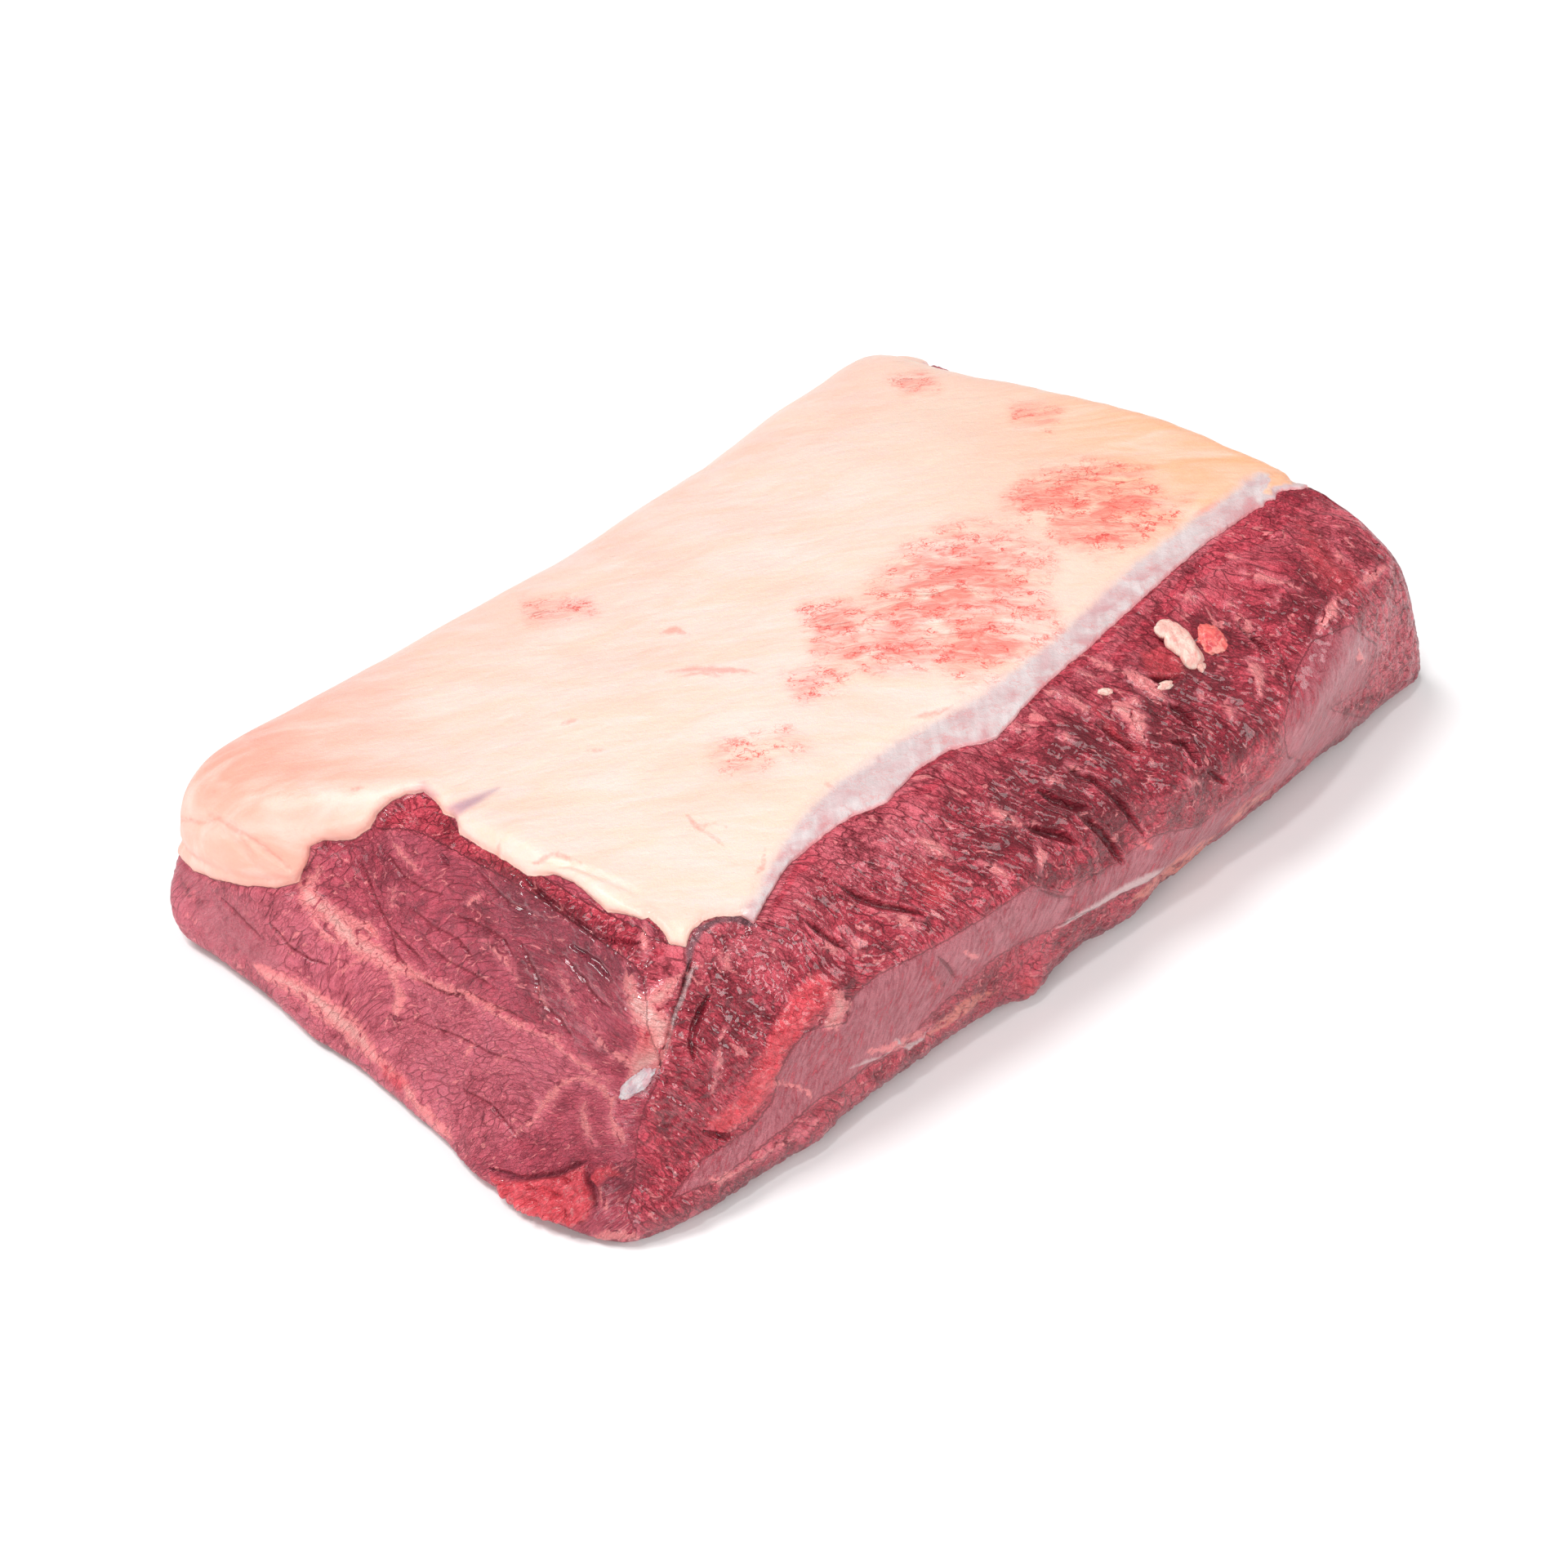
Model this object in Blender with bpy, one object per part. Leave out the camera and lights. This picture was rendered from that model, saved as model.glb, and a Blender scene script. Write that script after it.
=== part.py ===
"""A raw beef striploin: a boned loin block under its fat cover, with silverskin along the chine edge.

Run it with  blender --background --python part.py , or from Blender's text editor.
Units are metres and +Z is up. +X runs along the loin from the near cut end to the far one, and +Y runs
across it, from the thick chine side (where the backbone was) to the thin tail side. The origin is the
middle of the bounding box's underside.

Every piece starts as a gridded box. Its points are described in box space, which is the plain block
that the loin would be with straight sides, and `form` bends box space into the loin's real shape.
"""

from dataclasses import dataclass

import bmesh
import bpy
import numpy as np
from mathutils import Vector, noise

# ---------------------------------------------------------------- driving dimensions
LENGTH = 0.371
BOX_HALF = np.array([LENGTH / 2, 0.105, 0.040])
EDGE_RADIUS = 0.009
# The tail side's upper edges are softer, from one box-space place to the other.
TAIL_EXTRA_RADIUS = 0.015
TAIL_SOFT_ACROSS = (0.020, 0.090)
TAIL_SOFT_UP = (-0.035, 0.020)

# What stays between the meat and a layer on it, and more of it at the rounded edges and the tail corner.
LAYER_GAP = 0.0010
LAYER_GAP_AT_BENDS = 0.006
LAYER_GAP_AT_CORNER = 0.003

# The near cut slants: its top lies further back than its foot, and the chine corner is cut off.
NEAR_TOP_SETBACK = 0.046
NEAR_TAIL_SETBACK = 0.008
NEAR_SLOPE_ENDS = (0.58, 0.84)
NEAR_FOOT = (
    (0.0, 0.000),
    (0.12, -0.008),
    (0.35, -0.009),
    (0.6, -0.007),
    (0.85, -0.005),
    (1.0, -0.005),
)
CORNER_CUT_DEPTH = 0.040
CORNER_CUT_WIDTH = 0.078
CORNER_CUT_PROFILE = (
    (0.0, 0.0),
    (0.12, 0.1),
    (0.3, 0.55),
    (0.5, 0.80),
    (0.7, 1.0),
    (0.88, 0.98),
    (1.0, 0.62),
)

FAR_FOOT_SETBACK = 0.003
FAR_TOP_SETBACK = 0.027
FAR_TAIL_SETBACK = 0.028
FAR_SLOPE_POWER = 1.5
CHINE_LEAN_POWER = 1.2
TAIL_SWELL_UP = 0.6

FAT_THICKNESS = 0.007
FAT_RIM_THICKNESS = 0.0016
FAT_RIM_TAPER = 0.016
FAT_FAR_INSET = 0.003
FAT_FAR_WAVE = (0.0015, 0.009)
FAT_TAIL_REACH = 0.145
FAT_TAIL_WAVE = (0.004, 0.045)

# How deep below the top the point lies from which plan points are projected down the sides.
WRAP_DEPTH = 0.15
TOUCH = 1e-6

# The fat's near edge, as (plan y, how far past the block's near end it reaches). It follows the cut's
# top as far as a bay where the meat comes up through it, then hangs down over the cut at the tail.
FAT_NEAR_EDGE = (
    (-0.099, 0.000),
    (-0.092, 0.000),
    (-0.086, -0.006),
    (-0.079, -0.008),
    (-0.064, -0.006),
    (-0.047, -0.0055),
    (-0.031, -0.006),
    (-0.013, -0.0055),
    (-0.002, -0.002),
    (0.006, -0.007),
    (0.016, -0.0095),
    (0.027, -0.0105),
    (0.031, -0.004),
    (0.035, 0.009),
    (0.042, 0.0125),
    (0.049, 0.017),
    (0.053, 0.027),
    (0.058, 0.038),
    (0.072, 0.041),
    (0.094, 0.046),
    (0.118, 0.052),
    (0.145, 0.056),
)

# The two edges of the strip of silverskin, as (share of the length, plan y). The fat begins where the
# strip ends.
FAT_CHINE_EDGE = (
    (0.0, -0.099),
    (0.054, -0.097),
    (0.1, -0.094),
    (0.2, -0.085),
    (0.32, -0.0875),
    (0.41, -0.089),
    (0.5, -0.0945),
    (0.58, -0.093),
    (0.66, -0.0905),
    (0.81, -0.093),
    (1.0, -0.0945),
)
SILVERSKIN_OUTER_EDGE = (
    (0.0, -0.102),
    (0.09, -0.0975),
    (0.19, -0.0945),
    (0.28, -0.1),
    (0.39, -0.1045),
    (0.54, -0.1025),
    (0.68, -0.0995),
    (0.83, -0.0985),
    (1.0, -0.0985),
)
SILVERSKIN_THICKNESS = 0.0009
SILVERSKIN_END_INSET = 0.008
SILVERSKIN_SIDE_GAP = 0.0013

UNDULATION_HEIGHT = 0.0016
UNDULATION_SIZE = 0.055


@dataclass(frozen=True)
class Section:
    """One slice across the loin: where its corners lie, at a share of the loin's length."""

    along: float
    foot_y: float
    ridge_y: float
    ridge_z: float
    edge_y: float
    edge_z: float
    crown_z: float
    shoulder_z: float
    rim_z: float
    tail_y: float
    tail_foot_y: float


# The four heights of a section's top stand at these shares of its width.
TOP_PLACES = (0.0, 0.35, 0.68, 1.0)
SECTIONS = (
    Section(0.00, -0.012, -0.016, 0.048, 0.002, 0.078, 0.077, 0.066, 0.059, 0.195, 0.183),
    Section(0.09, -0.018, -0.018, 0.049, 0.005, 0.079, 0.078, 0.067, 0.059, 0.195, 0.183),
    Section(0.25, -0.016, -0.020, 0.052, 0.010, 0.080, 0.080, 0.069, 0.059, 0.195, 0.183),
    Section(0.50, -0.014, -0.021, 0.050, 0.013, 0.080, 0.082, 0.071, 0.058, 0.195, 0.184),
    Section(0.72, -0.008, -0.020, 0.047, 0.022, 0.079, 0.081, 0.072, 0.059, 0.200, 0.187),
    Section(0.88, -0.005, -0.009, 0.060, 0.031, 0.078, 0.079, 0.070, 0.061, 0.205, 0.190),
    Section(1.00, -0.002, 0.000, 0.058, 0.037, 0.077, 0.077, 0.067, 0.064, 0.207, 0.189),
)


@dataclass(frozen=True)
class Groove:
    """A furrow pressed into the meat along a line of points."""

    points: tuple
    depth: float
    width: float


@dataclass(frozen=True)
class Lump:
    """A soft swelling of the meat around a point."""

    centre: tuple
    height: float
    radius: float


# Where the corner muscle meets the rest, where the two main muscles meet, and under the torn flap.
MEMBRANE_GROOVE = Groove(
    points=(
        (0.060, 0.008, 0.077),
        (0.050, 0.010, 0.072),
        (0.042, 0.004, 0.061),
        (0.031, 0.001, 0.051),
        (0.019, 0.006, 0.044),
    ),
    depth=0.0050,
    width=0.0055,
)
SEAM_GROOVE = Groove(
    points=(
        (0.009, 0.136, 0.041),
        (0.012, 0.099, 0.030),
        (0.012, 0.056, 0.036),
        (0.017, 0.019, 0.043),
        (0.018, 0.006, 0.044),
    ),
    depth=0.0022,
    width=0.0060,
)
LIP_GROOVE = Groove(
    points=((0.030, -0.012, 0.023), (0.045, -0.016, 0.024), (0.066, -0.018, 0.034)),
    depth=0.0030,
    width=0.0050,
)
FLAP_GROOVE = Groove(
    points=((-0.008, 0.046, 0.012), (-0.002, 0.024, 0.015), (0.005, 0.003, 0.021)),
    depth=0.0040,
    width=0.0055,
)

# The knife's slashes in the chine side, as each slash's (x, z) points from its top to its foot.
SLASHES = (
    ((0.088, 0.072), (0.093, 0.060)),
    ((0.097, 0.074), (0.106, 0.065), (0.115, 0.055)),
    ((0.134, 0.070), (0.148, 0.056)),
    ((0.162, 0.064), (0.174, 0.054)),
    ((0.174, 0.067), (0.184, 0.059), (0.194, 0.040)),
    ((0.187, 0.068), (0.197, 0.055), (0.205, 0.042)),
    ((0.205, 0.071), (0.214, 0.061)),
    ((0.226, 0.061), (0.232, 0.052), (0.242, 0.042)),
    ((0.232, 0.066), (0.239, 0.056)),
    ((0.274, 0.069), (0.280, 0.058)),
)
SLASH_DEPTH = 0.0040
SLASH_WIDTH = 0.0045

LUMPS = (
    Lump((-0.004, 0.040, 0.007), 0.0060, 0.011),
    Lump((-0.004, 0.018, 0.012), 0.0050, 0.010),
    Lump((0.026, -0.012, 0.030), 0.0040, 0.013),
    Lump((0.070, -0.016, 0.005), 0.0025, 0.010),
    Lump((0.162, -0.016, 0.004), 0.0065, 0.007),
    Lump((0.205, -0.012, 0.004), 0.0030, 0.012),
    Lump((0.000, 0.182, 0.012), 0.0040, 0.009),
    Lump((0.000, 0.120, 0.004), 0.0025, 0.012),
    Lump((0.046, 0.125, 0.058), 0.0030, 0.011),
    Lump((0.358, 0.060, 0.030), 0.0040, 0.030),
    Lump((0.352, 0.140, 0.040), 0.0040, 0.028),
)

# Each scrap lies on a face of the block. Its middle there is (x, z) on the chine side and (y, z) on the
# near cut, in box space; then come its long and short half sizes and its height. Its outline has lobes,
# as (share of the reach, number, turn).
FAT_SCRAP_MIDDLE = (0.0560, 0.0325)
FAT_SCRAP_HALF = (0.0112, 0.0056)
FAT_SCRAP_HEIGHT = 0.0042
SINEW_TAB_MIDDLE = (-0.0825, 0.0055)
SINEW_TAB_HALF = (0.0045, 0.0030)
SINEW_TAB_HEIGHT = 0.0026
SCRAP_LIFT = 0.0009
SCRAP_LOBES = ((0.13, 3, 0.7), (0.07, 7, 0.0))
FAT_SCRAP_LONG_WAY = (0.62, -0.56)
FAT_SCRAP_SHORT_WAY = (0.75, 0.50)
SINEW_TAB_RISE = 0.35

# ---------------------------------------------------------------- colours, roughness
LEAN_COLOUR, LEAN_ROUGHNESS = (0.39, 0.065, 0.085, 1.0), 0.42
FAT_COLOUR, FAT_ROUGHNESS = (0.93, 0.76, 0.64, 1.0), 0.38
SILVERSKIN_COLOUR, SILVERSKIN_ROUGHNESS = (0.80, 0.66, 0.66, 1.0), 0.30
SCRAP_COLOUR = (0.90, 0.72, 0.62, 1.0)
SINEW_COLOUR = (0.78, 0.72, 0.74, 1.0)
SCRAP_ROUGHNESS = 0.35


# ---------------------------------------------------------------- small helpers
def smooth_step(low, high, value):
    """0 up to low, 1 from high on, and an S curve between them."""
    share = np.clip((np.asarray(value, float) - low) / (high - low), 0.0, 1.0)
    return share * share * (3.0 - 2.0 * share)


def knot_slopes(places, heights):
    """Slopes for a curve through knots, such that it never overshoots them."""
    rises = np.diff(heights) / np.diff(places)
    before, after = rises[:-1], rises[1:]
    steady = before * after > 0
    inner = np.where(steady, 2 * before * after / np.where(steady, before + after, 1.0), 0.0)
    return np.concatenate([rises[:1], inner, rises[-1:]])


def through(knots, value):
    """A smooth curve through (place, height) knots, read at each value."""
    places = np.array([knot[0] for knot in knots])
    heights = np.array([knot[1] for knot in knots])
    slopes = knot_slopes(places, heights)
    value = np.clip(value, places[0], places[-1])
    right = np.clip(np.searchsorted(places, value, side="right"), 1, len(places) - 1)
    left = right - 1
    span = places[right] - places[left]
    share = (value - places[left]) / span
    return (
        heights[left] * (1 + 2 * share) * (1 - share) ** 2
        + heights[right] * share**2 * (3 - 2 * share)
        + slopes[left] * span * share * (1 - share) ** 2
        - slopes[right] * span * share**2 * (1 - share)
    )


def section_curve(field, along):
    """A field of the sections, read at each place along the loin."""
    return through([(section.along, getattr(section, field)) for section in SECTIONS], along)


def grid_lines(*stretches):
    """The cutting places of a gridded box, from stretches of (start, end, number of cells)."""
    lines = [stretches[0][0]]
    for start, end, cells in stretches:
        lines.extend(start + (end - start) * step / cells for step in range(1, cells + 1))
    return lines


# ---------------------------------------------------------------- the loin's form
def edge_radius(box):
    """The rounding of the block's edges: much softer along the top of the tail side."""
    softness = smooth_step(*TAIL_SOFT_ACROSS, box[:, 1]) * smooth_step(*TAIL_SOFT_UP, box[:, 2])
    return (EDGE_RADIUS + TAIL_EXTRA_RADIUS * softness)[:, None]


def from_core(box):
    """The points' nearest places on the block's core, and the steps from there out to the points."""
    limit = BOX_HALF - edge_radius(box)
    core = np.clip(box, -limit, limit)
    return core, box - core


def fillet(box, depth):
    """Moves points of the block's skin onto its rounded edges, and inwards by depth."""
    core, out = from_core(box)
    length = np.maximum(np.linalg.norm(out, axis=1), 1e-9)
    return core + out * ((edge_radius(box)[:, 0] - depth) / length)[:, None]


def bend(box):
    """0 where the block's skin is flat, rising to 0.3 along its edges."""
    out = np.abs(from_core(box)[1])
    return 1 - out.max(axis=1) / np.maximum(np.linalg.norm(out, axis=1), 1e-9)


def chine_side(along, up):
    """Y of the chine side: upright up to the ridge, then leaning in to the fat's edge."""
    ridge_up = section_curve("ridge_z", along) / section_curve("edge_z", along)
    below = np.clip(up / ridge_up, 0.0, 1.0)
    above = np.clip((up - ridge_up) / (1.0 - ridge_up), 0.0, 1.0)
    foot = section_curve("foot_y", along)
    ridge = section_curve("ridge_y", along)
    edge = section_curve("edge_y", along)
    return foot + (ridge - foot) * np.sin(below * np.pi / 2) + (edge - ridge) * above**CHINE_LEAN_POWER


def tail_side(along, up):
    """Y of the tail side: it swells at half height and tucks in at its foot."""
    foot = section_curve("tail_foot_y", along)
    tail = section_curve("tail_y", along)
    return foot + (tail - foot) * np.sin(np.clip(up / TAIL_SWELL_UP, 0.0, 1.0) * np.pi / 2)


def top_height(along, across):
    """Z of the top, fat included: level over the eye muscle and falling away to the tail."""
    across = np.clip(across, 0.0, 1.0)
    heights = [section_curve(name, along) for name in ("edge_z", "crown_z", "shoulder_z", "rim_z")]
    slopes = np.gradient(np.array(heights), np.array(TOP_PLACES), axis=0)
    result = np.zeros_like(along)
    for left in range(len(TOP_PLACES) - 1):
        span = TOP_PLACES[left + 1] - TOP_PLACES[left]
        share = (across - TOP_PLACES[left]) / span
        inside = (share >= 0.0) & (share <= 1.0)
        curve = (
            heights[left] * (1 + 2 * share) * (1 - share) ** 2
            + heights[left + 1] * share**2 * (3 - 2 * share)
            + slopes[left] * span * share * (1 - share) ** 2
            - slopes[left + 1] * span * share**2 * (1 - share)
        )
        result = np.where(inside, curve, result)
    return result


def near_end(across, up):
    """X of the near cut."""
    towards_tail = smooth_step(*NEAR_SLOPE_ENDS, across)
    setback = NEAR_TOP_SETBACK * up * (1 - towards_tail) + NEAR_TAIL_SETBACK * up * towards_tail
    corner = np.clip(1 - across / CORNER_CUT_WIDTH, 0.0, 1.0)
    foot = through(NEAR_FOOT, across)
    return foot + setback + CORNER_CUT_DEPTH * through(CORNER_CUT_PROFILE, up) * corner


def far_end(across, up):
    """X of the far cut."""
    slope = FAR_TOP_SETBACK * np.maximum(up, 0.0) ** FAR_SLOPE_POWER
    return LENGTH - FAR_FOOT_SETBACK - slope - FAR_TAIL_SETBACK * up * across


def undulation(points):
    """Soft, low waves of the whole surface, stronger at the top."""
    heights = [noise.noise(Vector((x, y, 0.0)) / UNDULATION_SIZE) for x, y, _ in points]
    return UNDULATION_HEIGHT * np.array(heights)


def form(box, depth=0.0):
    """Box space points, taken inwards by depth, as points of the real loin."""
    rounded = fillet(box, np.broadcast_to(depth, len(box)))
    along, across, up = ((rounded / BOX_HALF + 1.0) / 2.0).T
    near = near_end(across, up)
    x = near + (far_end(across, up) - near) * along
    chine = chine_side(along, up)
    y = chine + (tail_side(along, up) - chine) * across
    z = top_height(along, across) * up
    points = np.stack([x, y, z], axis=1)
    points[:, 2] += undulation(points) * up
    return points


def outward(box, depth=0.0):
    """The direction out of the loin at box space points."""
    step = 0.0005
    out = form(box, depth - step) - form(box, depth)
    return out / np.maximum(np.linalg.norm(out, axis=1), 1e-9)[:, None]


# ---------------------------------------------------------------- the layers' outlines
def wrap(plan):
    """Lays plan points (X, Y) on the block: beyond its top's rim they run down its sides."""
    reach = np.maximum(1.0, np.abs(plan / BOX_HALF[:2]).max(axis=1))
    flat = plan / reach[:, None]
    return np.column_stack([flat, BOX_HALF[2] - WRAP_DEPTH + WRAP_DEPTH / reach])


def unwrap(box):
    """The plan points of box space points."""
    scale = WRAP_DEPTH / np.maximum(box[:, 2] - BOX_HALF[2] + WRAP_DEPTH, 1e-4)
    return box[:, :2] * scale[:, None]


def fat_near_edge(plan_y):
    """Plan X of the fat's near edge."""
    return -BOX_HALF[0] - through(FAT_NEAR_EDGE, plan_y)


def fat_far_edge(plan_y):
    """Plan X of the fat's far edge, slightly wavy."""
    height, size = FAT_FAR_WAVE
    return BOX_HALF[0] - FAT_FAR_INSET + height * np.sin(plan_y / size)


def fat_chine_edge(plan_x):
    """Plan Y of the fat's edge beside the silverskin."""
    return through(FAT_CHINE_EDGE, (plan_x / BOX_HALF[0] + 1) / 2)


def silverskin_outer_edge(plan_x):
    """Plan Y of the silverskin's edge beside the cut meat."""
    return through(SILVERSKIN_OUTER_EDGE, (plan_x / BOX_HALF[0] + 1) / 2)


def fat_tail_edge(plan_x):
    """Plan Y of the fat's edge low on the tail side, slightly wavy."""
    height, size = FAT_TAIL_WAVE
    return FAT_TAIL_REACH + height * np.sin(plan_x / size)


def inside_fat(plan):
    """How far plan points lie inside the fat's outline, in metres; negative outside."""
    x, y = plan.T
    return np.minimum.reduce(
        [x - fat_near_edge(y), fat_far_edge(y) - x, y - fat_chine_edge(x), fat_tail_edge(x) - y]
    )


def fat_depth(inside):
    """The fat's thickness at a distance inside its outline."""
    swell = smooth_step(0.0, FAT_RIM_TAPER, inside)
    return FAT_RIM_THICKNESS + (FAT_THICKNESS - FAT_RIM_THICKNESS) * swell


# ---------------------------------------------------------------- relief of the meat
def distance_to_line(points, line):
    """Each point's distance to a line of points."""
    line = np.array(line)
    nearest = np.full(len(points), np.inf)
    for start, end in zip(line[:-1], line[1:]):
        run = end - start
        share = np.clip(((points - start) @ run) / (run @ run), 0.0, 1.0)
        gap = np.linalg.norm(points - start - share[:, None] * run, axis=1)
        nearest = np.minimum(nearest, gap)
    return nearest


def relief(points, on_chine):
    """How far each point of the meat stands out (or, where negative, is pressed in)."""
    height = np.zeros(len(points))
    for lump in LUMPS:
        gap = np.linalg.norm(points - np.array(lump.centre), axis=1)
        height += lump.height * np.exp(-((gap / lump.radius) ** 2))
    for groove in (MEMBRANE_GROOVE, SEAM_GROOVE, LIP_GROOVE, FLAP_GROOVE):
        gap = distance_to_line(points, groove.points)
        height -= groove.depth * np.exp(-((gap / groove.width) ** 2))
    for slash in SLASHES:
        gap = distance_to_line(points[:, [0, 2]], slash)
        height -= on_chine * SLASH_DEPTH * np.exp(-((gap / SLASH_WIDTH) ** 2))
    return height


# ---------------------------------------------------------------- making the pieces
def new_object(name, mesh_builder, colour, roughness):
    """A named object with one material, from a filled bmesh."""
    mesh_builder.normal_update()
    bmesh.ops.recalc_face_normals(mesh_builder, faces=mesh_builder.faces)
    mesh = bpy.data.meshes.new(name)
    mesh_builder.to_mesh(mesh)
    mesh_builder.free()
    mesh.shade_smooth()
    material = bpy.data.materials.new(name)
    material.use_nodes = True
    surface = material.node_tree.nodes["Principled BSDF"]
    surface.inputs["Base Color"].default_value = colour
    surface.inputs["Roughness"].default_value = roughness
    surface.inputs["Metallic"].default_value = 0.0
    mesh.materials.append(material)
    thing = bpy.data.objects.new(name, mesh)
    bpy.context.scene.collection.objects.link(thing)
    return thing


def gridded_box(x_lines, y_lines, z_lines):
    """A box cut along every given line, as a bmesh and its points."""
    builder = bmesh.new()
    bmesh.ops.create_cube(builder, size=1.0)
    corners = np.array([[lines[0], lines[-1]] for lines in (x_lines, y_lines, z_lines)])
    for vertex in builder.verts:
        vertex.co = [corners[axis][int(vertex.co[axis] > 0)] for axis in range(3)]
    for axis, lines in enumerate((x_lines, y_lines, z_lines)):
        normal = Vector([float(axis == other) for other in range(3)])
        for line in lines[1:-1]:
            everything = [*builder.verts, *builder.edges, *builder.faces]
            bmesh.ops.bisect_plane(
                builder, geom=everything, dist=1e-7, plane_co=normal * line, plane_no=normal
            )
    return builder, np.array([vertex.co for vertex in builder.verts])


def place(builder, points):
    """Moves a bmesh's vertices to the given points."""
    for vertex, point in zip(builder.verts, points):
        vertex.co = point


def build_lean():
    """The meat: the whole form, lowered under the fat and the silverskin, with its relief."""
    half_x, half_y, half_z = BOX_HALF
    radius = EDGE_RADIUS
    skin_y, bay_start_y, bay_end_y = -0.072, 0.018, 0.062
    builder, box = gridded_box(
        grid_lines(
            (-half_x, -half_x + radius, 2),
            (-half_x + radius, half_x - radius, 40),
            (half_x - radius, half_x, 2),
        ),
        grid_lines(
            (-half_y, -half_y + radius, 2),
            (-half_y + radius, skin_y, 4),
            (skin_y, bay_start_y, 8),
            (bay_start_y, bay_end_y, 9),
            (bay_end_y, half_y - radius, 4),
            (half_y - radius, half_y, 2),
        ),
        grid_lines(
            (-half_z, -half_z + radius, 2),
            (-half_z + radius, half_z - radius, 8),
            (half_z - radius, half_z, 2),
        ),
    )
    plan = unwrap(box)
    inside = inside_fat(plan)
    upper = box[:, 2] > -half_z + radius
    near_corner = smooth_step(half_x - 0.035, half_x - 0.005, -box[:, 0])
    tail_corner = smooth_step(half_y - 0.040, half_y - 0.005, box[:, 1])
    gap = LAYER_GAP + LAYER_GAP_AT_BENDS * bend(box) + LAYER_GAP_AT_CORNER * near_corner * tail_corner
    under_fat = (FAT_THICKNESS + gap) * smooth_step(-0.005, 0.004, inside) * upper
    beside_fat = plan[:, 1] - silverskin_outer_edge(plan[:, 0])
    on_top = box[:, 2] > half_z - radius
    under_skin = (SILVERSKIN_THICKNESS + gap) * smooth_step(-0.003, 0.0, beside_fat) * on_top
    depth = np.maximum(under_fat, under_skin)
    points = form(box, depth)
    covered = smooth_step(-0.007, -0.001, inside) * upper
    under_skin_too = smooth_step(-0.006, 0.0, beside_fat) * on_top
    open_meat = 1 - np.maximum(covered, under_skin_too)
    on_chine = box[:, 1] < -half_y + TOUCH
    steps = outward(box, depth) * (relief(points, on_chine) * open_meat)[:, None]
    steps[box[:, 2] < -half_z + TOUCH, 2] = 0.0
    points += steps
    points[:, 2] = np.maximum(points[:, 2], 0.0)
    place(builder, points)
    return new_object("lean", builder, LEAN_COLOUR, LEAN_ROUGHNESS)


def build_fat_cap():
    """The fat cover: a layer that lies on the meat and hangs over at the tail side."""
    half_x, half_y = BOX_HALF[:2]
    first_y, chine_y, tail_y = FAT_NEAR_EDGE[0][0], -0.062, 0.120
    bay_y, hang_y, corner_y = (-0.010, 0.026), 0.060, 0.096
    near_x, far_x = -half_x + 0.020, half_x - 0.012
    builder, grid = gridded_box(
        grid_lines((-half_x, near_x, 8), (near_x, far_x, 26), (far_x, half_x, 3)),
        grid_lines(
            (first_y, chine_y, 4),
            (chine_y, bay_y[0], 4),
            (*bay_y, 5),
            (bay_y[1], hang_y, 8),
            (hang_y, corner_y, 4),
            (corner_y, tail_y, 4),
            (tail_y, FAT_TAIL_REACH, 3),
        ),
        [0.0, 1.0],
    )
    x, y, layer = grid.T
    to_chine = np.clip((chine_y - y) / (chine_y - first_y), 0, 1)
    to_tail = np.clip((y - tail_y) / (FAT_TAIL_REACH - tail_y), 0, 1)
    plan_y = y + (fat_chine_edge(x) - first_y) * to_chine + (fat_tail_edge(x) - FAT_TAIL_REACH) * to_tail
    to_near = np.clip((near_x - x) / (near_x + half_x), 0, 1)
    to_far = np.clip((x - far_x) / (half_x - far_x), 0, 1)
    plan_x = x + (fat_near_edge(plan_y) + half_x) * to_near + (fat_far_edge(plan_y) - half_x) * to_far
    plan = np.column_stack([plan_x, plan_y])
    place(builder, form(wrap(plan), fat_depth(inside_fat(plan)) * (1 - layer)))
    return new_object("fat_cap", builder, FAT_COLOUR, FAT_ROUGHNESS)


def build_silverskin():
    """The pale membrane that shows between the fat's edge and the cut meat of the chine side."""
    builder, unit = gridded_box(grid_lines((0.0, 1.0, 40)), grid_lines((0.0, 1.0, 2)), [0.0, 1.0])
    i, j, layer = unit.T
    plan_x = (BOX_HALF[0] - SILVERSKIN_END_INSET) * (2 * i - 1)
    outer = silverskin_outer_edge(plan_x)
    inner = fat_chine_edge(plan_x) - SILVERSKIN_SIDE_GAP
    plan = np.column_stack([plan_x, outer + (inner - outer) * j])
    place(builder, form(wrap(plan), SILVERSKIN_THICKNESS * (1 - layer)))
    return new_object("silverskin", builder, SILVERSKIN_COLOUR, SILVERSKIN_ROUGHNESS)


def scrap_points(unit, face_points, half, height):
    """A lumpy flat scrap on a face: unit box points turned into points of the scrap."""
    u, v, layer = unit.T
    reach = np.hypot(u, v)
    square = np.maximum(np.abs(u), np.abs(v))
    disc = np.where(reach > 0, square / np.maximum(reach, 1e-9), 1.0)
    angle = np.arctan2(v, u)
    lobes = 1 + sum(share * np.sin(number * angle + turn) for share, number, turn in SCRAP_LOBES)
    base, out = face_points(u * disc * lobes * half[0], v * disc * lobes * half[1])
    bulge = np.sqrt(np.clip(1 - 0.85 * square**2, 0, 1)) * (1 + 0.18 * np.sin(5 * u + 3 * v))
    return base + out * (SCRAP_LIFT + height * bulge * layer)[:, None]


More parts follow.
